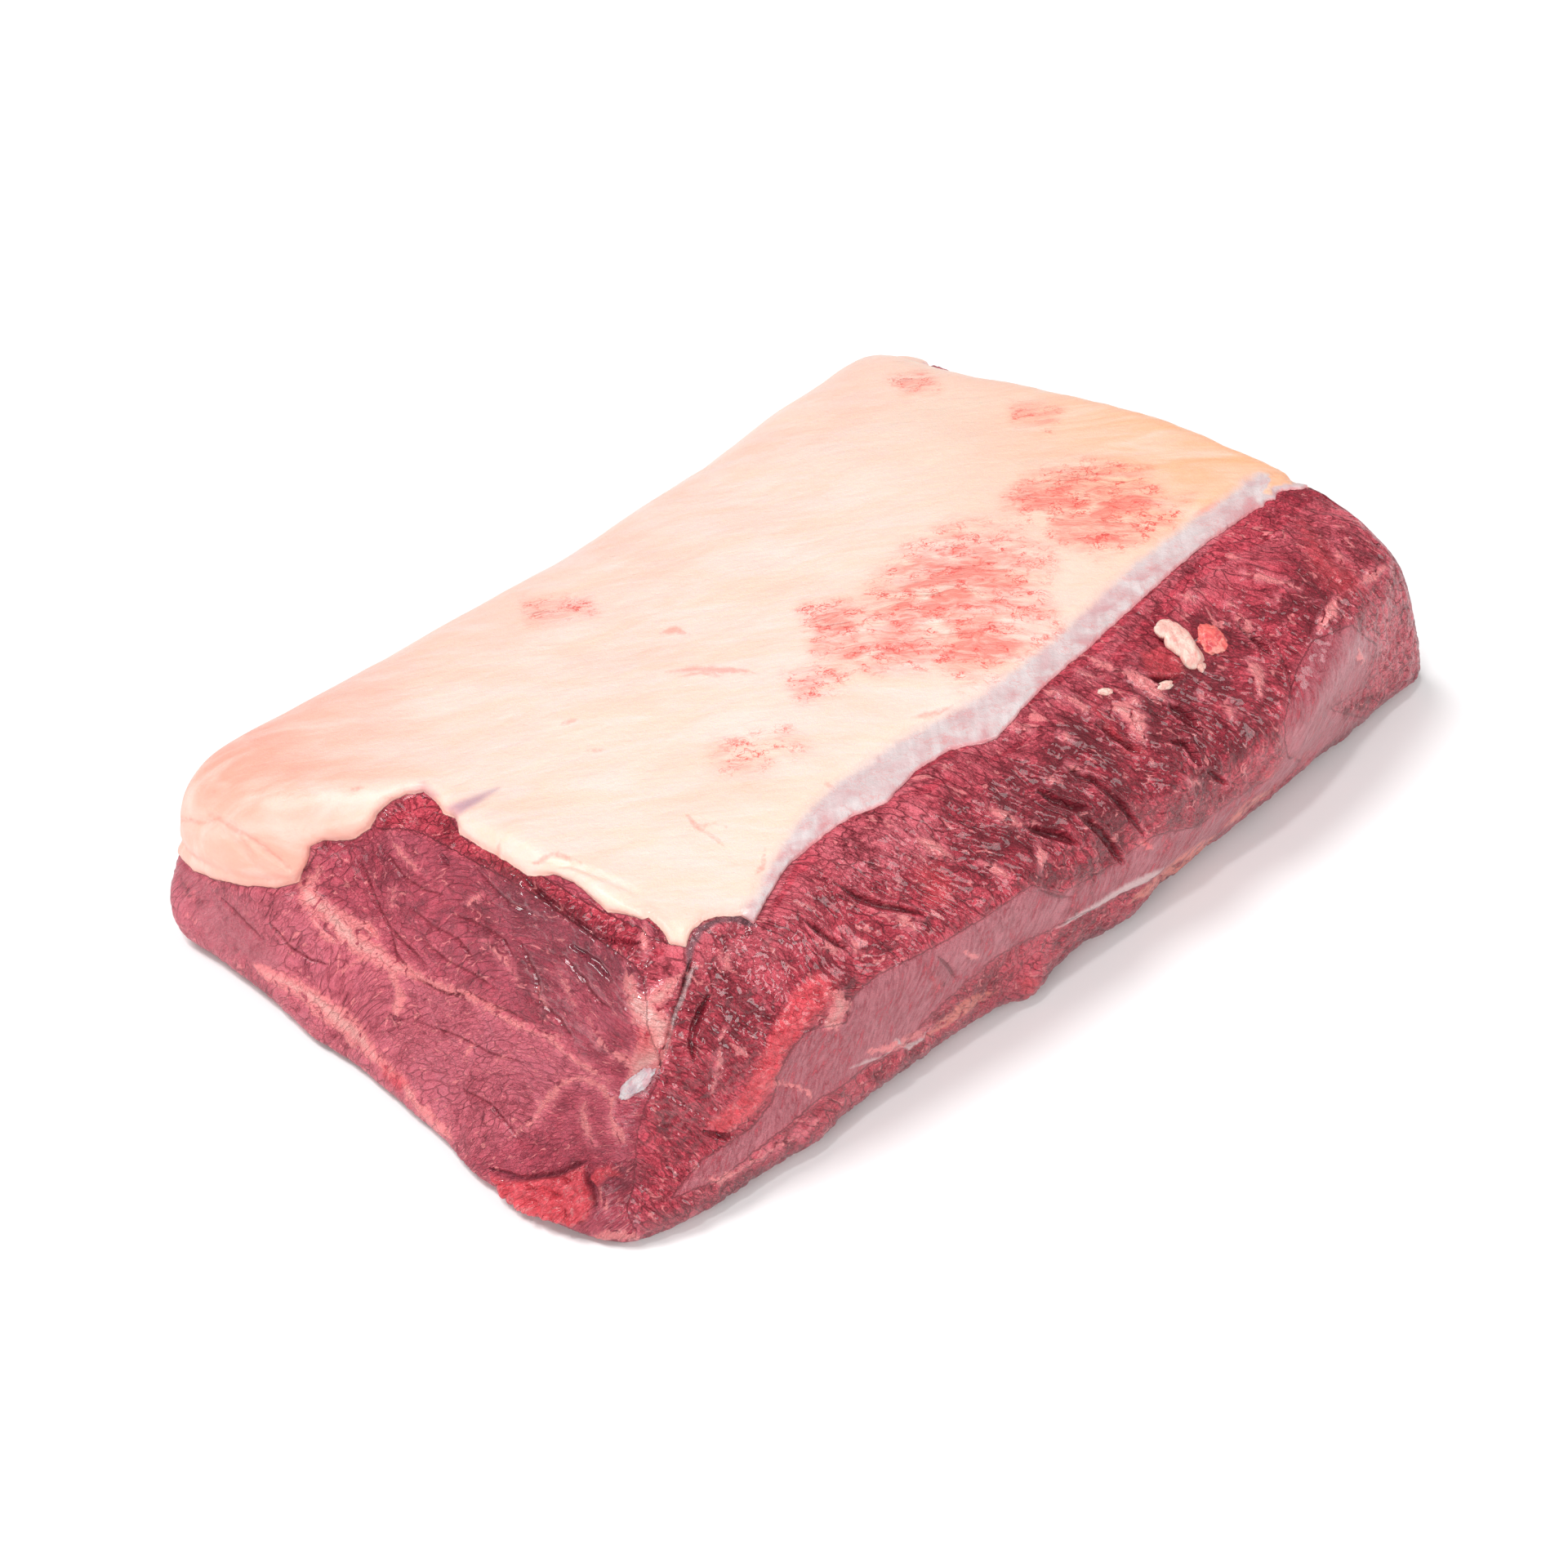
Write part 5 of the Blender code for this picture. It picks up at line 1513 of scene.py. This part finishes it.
        # partly the paler tint of the meat beside the cover, partly painted light on the upper edge of the chine side
        depth = block.whole
        beside = np.maximum(0.75 * smooth_step(-5.0, -1.0, depth), 0.45 * smooth_step(-22.0, -4.0, depth))
        pale = np.maximum(pale, beside * on_chine * seen)
        paint(block.piece, "tone", dark, pale, blood, np.maximum(wet, 0.35 * on_chine))

        low = smooth_step(0.014, 0.006, points[:, 2])
        ochre = smooth_step(-0.4, 0.6, deepest(pixels, OCHRE_LINES)) * seen
        back_film = 0.7 * smooth_step(0.25, 0.6, normals[:, 1]) * (points[:, 1] > 0.05)
        far_end = 0.35 * smooth_step(0.55, 0.8, normals[:, 0])
        film = np.maximum.reduce([film, 0.7 * LEFT_FILM.mask(pixels) * seen, back_film, far_end])
        veil_and_low_shade = smooth_step(-0.6, 0.6, MEMBRANE_RIM.depth(pixels) / VIEW.px_per_mm) * seen
        # painted shade: the bottom of the chine side is darkened towards the floor with the veil colour
        veil_and_low_shade = np.maximum(veil_and_low_shade, 0.4 * low * on_chine * (1.0 - ochre))
        paint(block.piece, "film", film, ochre, veil_and_low_shade, end)
        # the last mark, slashes and cracks, drives the painted shade inside them
        marks = (np.clip(mark, -4, 4) for mark in (fat, sinew, depth, np.maximum(slash, cracks)))
        paint(block.piece, "marks", *marks)
        grain = np.where((film > 0.5)[:, None], film_grain, chine_grain)
        store_vectors(block.piece, "grain", np.where((end > 0.5)[:, None], end_grain, grain))
        return height

    def finish_pieces(self, effects: SharedEffects, *pieces: bpy.types.Object) -> None:
        """Gives the meat's pieces their material."""
        material = self.finish.build(effects)
        for piece in pieces:
            finish_piece(piece, material, "lean_meat", "lean")


# ------------------------------------------------------------------ the fat cover
RED_BLOTCHES = patches(
    (((1060, 760), (1110, 690), (1170, 660), (1240, 665), (1275, 700), (1240, 745), (1180, 770), (1090, 785)), 45.0),
    (((1030, 800), (1100, 770), (1220, 760), (1240, 790), (1160, 815), (1060, 820)), 30.0),
    (((1235, 620), (1265, 590), (1340, 575), (1400, 590), (1415, 620), (1380, 650), (1300, 655)), 28.0),
    (((985, 750), (1040, 745), (1060, 790), (1000, 800)), 22.0),
)  # fmt: skip
FAINT_BLOTCHES = patches(
    (((880, 915), (960, 895), (985, 915), (920, 950), (870, 940)), 24.0),
    (((1085, 470), (1130, 460), (1150, 480), (1110, 490)), 14.0),
    (((1160, 800), (1280, 740), (1300, 780), (1180, 850)), 30.0),
    (((640, 740), (720, 735), (730, 755), (650, 765)), 16.0),
    (((1290, 660), (1400, 640), (1460, 610), (1440, 650), (1340, 690)), 16.0),
    (((1240, 500), (1300, 505), (1290, 530), (1240, 520)), 14.0),
    (((960, 830), (1030, 815), (1040, 850), (980, 860)), 18.0),
)
FAT_STREAKS = streaks(
    (((808, 779), (828, 774), (846, 780)), (2, 4, 2)),
    (((815, 829), (850, 824), (890, 824), (930, 828)), (2, 3, 3.4, 2)),
    (((830, 834), (858, 828), (886, 832)), 2.0),
    (((1012, 768), (1030, 762), (1044, 770), (1048, 782), (1040, 792)), 2.2),
    (((1186, 676), (1204, 678), (1222, 682)), (4, 5, 3)),
    (((1150, 680), (1160, 684)), 3.0),
    (((690, 892), (706, 888)), 2.4),
    (((720, 922), (742, 922)), 2.0),
    (((840, 1000), (852, 1016), (868, 1024), (888, 1040)), (1, 2, 1, 1.6)),
    (((852, 1016), (876, 1012), (896, 1018)), 1.0),
    (((938, 1042), (934, 1064), (922, 1078)), (3, 3, 2)),
    (((1010, 962), (1022, 968)), 3.0),
    (((1115, 885), (1140, 878), (1166, 868)), 2.4),
    (((1180, 880), (1140, 898), (1100, 910)), 2.0),
    (((1462, 634), (1480, 626), (1500, 612)), (3, 4, 2)),
    (((585, 1052), (612, 1046), (618, 1030)), (2, 2.4, 2)),
    (((655, 1058), (680, 1048), (712, 1060)), 2.6),
    (((264, 972), (268, 973)), 3.0),
    (((430, 970), (446, 968)), 2.0),
    (((224, 1000), (250, 1008), (270, 1002), (296, 1022), (318, 1050)), 1.2),
    (((262, 1000), (286, 1012), (316, 1030), (352, 1058)), 1.0),
)
CREASES = streaks(
    (((222, 1006), (250, 1004), (272, 1012), (300, 1036), (318, 1062)), 4.0),
    (((262, 996), (290, 1012), (322, 1034), (356, 1062)), 3.4),
    (((560, 1010), (586, 1040), (640, 1060), (700, 1062), (780, 1096)), 2.6),
)
BRUISES = patches(
    (((548, 990), (600, 972), (612, 968), (590, 985), (562, 1002)), 5.0),
    (((500, 970), (520, 962), (540, 975), (530, 980)), 5.0),
)
MILKY = Patch(((430, 1000), (480, 965), (560, 940), (680, 930), (660, 990), (560, 990)), 40.0)


@dataclass
class FatCover:
    """The layer of fat, which swells softly and rounds off onto the meat and the silverskin at its borders."""

    finish: CoverFinish = CoverFinish("fat cover", Sheen(0.25, (0.005, 0.0022, 0.0014), 0.14, 0.20, 0.40), 0.00032)
    near_rim: Rim = Rim(0.0012, 2.6, 0.0005)
    skin_rim: Rim = Rim(0.0008, 4.0, 0.0)
    swell_height: float = 0.0008
    streak_height: float = 0.00020
    lump_height: float = 0.00040
    crease_depth: float = 0.0010

    def dress(self, block: Block) -> np.ndarray:
        """Paints the layers that the finish reads.

        Args:
            block: The joined surface.

        Returns:
            How far the fat stands out at each vertex.
        """
        points, pixels, seen = block.points, block.pixels, block.seen
        blotch = cover(pixels, RED_BLOTCHES) * seen
        faint = cover(pixels, FAINT_BLOTCHES) * seen
        height = self.swell_height * layered_noise(points / 0.034, 2, 21)
        height += self.streak_height * layered_noise(points / (0.018, 0.006, 0.009), 2, 22)
        height += self.lump_height * (ridges(points / 0.0065, 23) - 0.5) * blotch
        height -= self.crease_depth * smooth_step(-0.9, 0.7, deepest(pixels, CREASES)) * seen
        height *= smooth_step(0.5, 3.7, block.fat)
        height += self.near_rim.height(block.fat) * (1.0 - block.on_skin_side)
        height += self.skin_rim.height(block.fat) * block.on_skin_side

        x, y, z = points.T
        amber = 0.80 * smooth_step(0.03, 0.16, x) * smooth_step(0.10, -0.03, y) + 0.20 * smooth_step(0.0, 0.2, x)
        left = smooth_step(-0.08, -0.16, x) * smooth_step(-0.02, 0.07, y)
        rim = (0.20 + 0.65 * smooth_step(-0.08, -0.15, x)) * smooth_step(0.076, 0.058, z) * (y > 0.0)
        rosy = np.maximum(rim, 0.70 * left)
        rosy = np.clip(rosy + 0.18 * soft_noise(points / 0.03, 25), 0.0, 1.0)
        blood = np.clip(blotch + 0.55 * faint + 0.10 * soft_noise(points / 0.02, 26), 0.0, 1.0)
        milky = MILKY.mask(pixels) * seen
        bruise = 0.75 * cover(pixels, BRUISES) * seen
        paint(block.piece, "tint", rosy * (1.0 - 0.8 * milky), amber * (1.0 - 0.8 * milky), blood, bruise)
        beside_skin = np.where(block.on_skin_side > 0.5, np.clip(block.fat, -5, 5), 5.0)
        streak = np.clip(deepest(pixels, FAT_STREAKS), -3, 3)
        paint(block.piece, "rims", np.clip(block.whole, -3, 6), beside_skin, streak, seen)
        return height


# ------------------------------------------------------------------ the silverskin
@dataclass
class Silverskin:
    """The strip of membrane along the fat's chine edge, thin enough at its outer edge to let the meat through."""

    finish: CoverFinish = CoverFinish("silverskin", Sheen(0.15, (0.004, 0.002, 0.002), 0.45, 0.18), 0.00030)
    rim: Rim = Rim(0.0005, 0.9, 0.0005)
    wrinkle_height: float = 0.00016

    def dress(self, block: Block) -> np.ndarray:
        """Paints the layers that the finish reads.

        Args:
            block: The joined surface.

        Returns:
            How far the silverskin stands out at each vertex.
        """
        points = block.points
        wrinkles = self.wrinkle_height * layered_noise(points / (0.007, 0.003, 0.003), 2, 41)
        wrinkles *= smooth_step(0.0, 1.0, block.whole) * smooth_step(1.0, 0.0, block.fat)
        height = (self.rim.height(block.whole) + wrinkles) * block.on_skin_side
        thin = 0.30 + 0.6 * smooth_step(8.0, 0.0, block.whole) + 0.5 * soft_noise(points / 0.012, 42)
        paint(block.piece, "strip", np.clip(thin, 0, 1))
        along = 0.75 * points[:, 0] - 0.66 * points[:, 1]
        across = 0.75 * points[:, 1] + 0.66 * points[:, 0]
        store_vectors(block.piece, "skin_grain", np.column_stack([across, along, points[:, 2]]))
        return height


# ------------------------------------------------------------------ the scraps
@dataclass
class Scraps:
    """The scrap of fat and the sinew end of the solids, and the smaller scraps beside them."""

    fat: ScrapFinish = ScrapFinish(
        ScrapKind.FAT, (0.86, 0.62, 0.53, 1.0), (0.85, 0.43, 0.37, 1.0), (0.86, 0.25, 0.22, 1.0), 0.50
    )
    meat: ScrapFinish = ScrapFinish(
        ScrapKind.MEAT, (0.92, 0.16, 0.14, 1.0), (0.66, 0.060, 0.075, 1.0), (0.92, 0.42, 0.34, 1.0), 0.60
    )
    sinew: ScrapFinish = ScrapFinish(
        ScrapKind.SINEW, (0.58, 0.49, 0.50, 1.0), (0.46, 0.33, 0.36, 1.0), (0.56, 0.24, 0.28, 1.0), 0.60
    )

    lump_height: float = 0.0011
    lump_lift: float = 0.0004
    lump_width: float = 0.66
    lump_shift: float = 0.0016

    def build(self, effects: SharedEffects, block: Block) -> None:
        """Makes every scrap.

        Args:
            effects: The shared node groups.
            block: The finished surface, which the scraps lie on.
        """
        fat = self.fat.build(effects)
        red = self.meat.build(effects)
        finish_piece(self._fat_lump(), fat, "scrap_fat", "fat_scrap")
        tab = self._pebble(block, "sinew_end", (780, 1327), (0.0066, 0.0023, 0.0011), 0.03, 55)
        finish_piece(tab, self.sinew.build(effects), "sinew", "sinew_tab")
        shred = self._pebble(block, "red_scrap", (1484, 783), (0.0056, 0.0050, 0.0022), 0.6, 51)
        finish_piece(shred, red, "lean_meat")
        crumbs = (
            ("fat_crumb_1", (1353, 847), (0.0026, 0.0012, 0.0011), 0.4, 52),
            ("fat_crumb_2", (1425, 840), (0.0032, 0.0014, 0.0012), 0.2, 53),
        )
        for name, pixel, half, turn, seed in crumbs:
            finish_piece(self._pebble(block, name, pixel, half, turn, seed), fat, "scrap_fat")

    def _fat_lump(self) -> bpy.types.Object:
        """A dense, lumpy copy of the solid fat scrap, narrower in the photograph's view than the solid is."""
        piece = copy_node("fat_scrap", "fat_lump")
        finish_modifier(piece, "SUBSURF", levels=3, render_levels=3)
        points, normals = points_of(piece), normals_of(piece)
        lumps = ridges(points / 0.0085, 61) - 0.35 + 0.20 * layered_noise(points / 0.0030, 2, 62)
        points += normals * (self.lump_height * lumps + self.lump_lift)[:, None]
        right = VIEW.axes()[0]
        across = (points - points.mean(axis=0)) @ right
        move_points(piece, points - ((1.0 - self.lump_width) * across + self.lump_shift)[:, None] * right)
        return piece

    def _pebble(
        self,
        block: Block,
        name: str,
        pixel: tuple[float, float],
        half: tuple[float, float, float],
        turn: float,
        seed: int,
    ) -> bpy.types.Object:
        """A small soft lump that lies on the meat where a pixel of the photograph shows it.

        Args:
            block: The surface.
            name: The piece's name.
            pixel: Its middle in the photograph.
            half: Its half sizes along the surface, across it and out of it.
            turn: How far it is turned on the surface, in radians.
            seed: Picks its lumps.

        Returns:
            The new piece.
        """
        spot, normal = block.spot(pixel)
        bpy.ops.object.select_all(action="DESELECT")
        bpy.ops.mesh.primitive_ico_sphere_add(subdivisions=5, radius=1.0)
        piece = bpy.context.object
        piece.name = piece.data.name = name
        points = points_of(piece)
        lumps = 1.0 + 0.22 * layered_noise(points * 1.6, 3, seed)
        points = points * lumps[:, None] * half
        points[:, 2] = np.maximum(points[:, 2], -0.35 * half[2])
        side = Vector((1.0, 0.0, 0.0)).cross(normal).normalized()
        ahead = normal.cross(side)
        basis = Matrix((ahead, side, normal)).transposed() @ Matrix.Rotation(turn, 3, "Z")
        move_points(piece, points @ np.array(basis).T + np.array(spot))
        return piece


# ------------------------------------------------------------------ the studio
@dataclass(frozen=True)
class Studio:
    """A pale floor, an even white surround and soft lights."""

    floor_size: float = 8.0
    floor_drop: float = 0.0004
    floor_colour: Colour = (0.95, 0.95, 0.95, 1.0)
    surround: float = 0.30
    lights: tuple[tuple, ...] = (
        ("key", (-0.5, 0.5, 1.5), 24.0, 1.75),
        ("chine side", (0.6, -1.25, 0.75), 26.0, 1.1),
        ("near side", (-1.3, -0.45, 0.7), 26.0, 1.25),
        ("sparkle", (-0.35, -0.10, 1.2), 4.0, 0.50),
    )

    def build(self) -> None:
        """Adds the floor, the surround and the lights."""
        bpy.ops.object.select_all(action="DESELECT")
        bpy.ops.mesh.primitive_plane_add(size=self.floor_size, location=(0.0, 0.0, -self.floor_drop))
        floor = bpy.context.object
        floor.name = "floor"
        material = bpy.data.materials.new("floor")
        material.use_nodes = True
        surface = material.node_tree.nodes["Principled BSDF"]
        surface.inputs["Base Color"].default_value = self.floor_colour
        surface.inputs["Roughness"].default_value = 0.9
        surface.inputs["Specular IOR Level"].default_value = 0.1
        floor.data.materials.append(material)
        world = bpy.data.worlds.new("studio")
        bpy.context.scene.world = world
        world.use_nodes = True
        world.node_tree.nodes["Background"].inputs["Color"].default_value = (1.0, 1.0, 1.0, 1.0)
        world.node_tree.nodes["Background"].inputs["Strength"].default_value = self.surround
        for light in self.lights:
            self._light(*light)
        view = bpy.context.scene.view_settings
        view.view_transform, view.look = "Standard", "None"

    def _light(self, name: str, place: tuple[float, float, float], width_deg: float, power: float) -> None:
        """Adds a soft light as wide as the given angle, which shines from the given side on everything alike."""
        data = bpy.data.lights.new(name, "SUN")
        data.angle, data.energy = radians(width_deg), power
        light = bpy.data.objects.new(name, data)
        bpy.context.scene.collection.objects.link(light)
        light.location = place
        light.rotation_euler = (-Vector(place)).to_track_quat("-Z", "Y").to_euler()


def main() -> None:
    """Builds the whole scene."""
    logging.basicConfig(level=logging.INFO, format="%(name)s %(relativeCreated)d: %(message)s")
    VIEW.add_camera()
    Studio().build()
    effects = SharedEffects()
    block = Block()
    LOG.info("block: %d triangles", triangle_count(block.piece))
    meat, fat, skin = LeanMeat(), FatCover(), Silverskin()
    block.raise_by(meat.dress(block) + fat.dress(block) + skin.dress(block))
    pieces = block.cut()
    meat.finish_pieces(effects, *(pieces[name] for name in ("meat_near", "meat_middle", "meat_far", "meat_rest")))
    finish_piece(pieces["fat_cover"], fat.finish.build(effects), "fat_cover", "fat_cap")
    finish_piece(pieces["silver_skin"], skin.finish.build(effects), "membrane", "silverskin")
    for piece in pieces.values():
        keep_normals(piece, "outward")
    Scraps().build(effects, block)


if __name__ == "__main__":
    main()
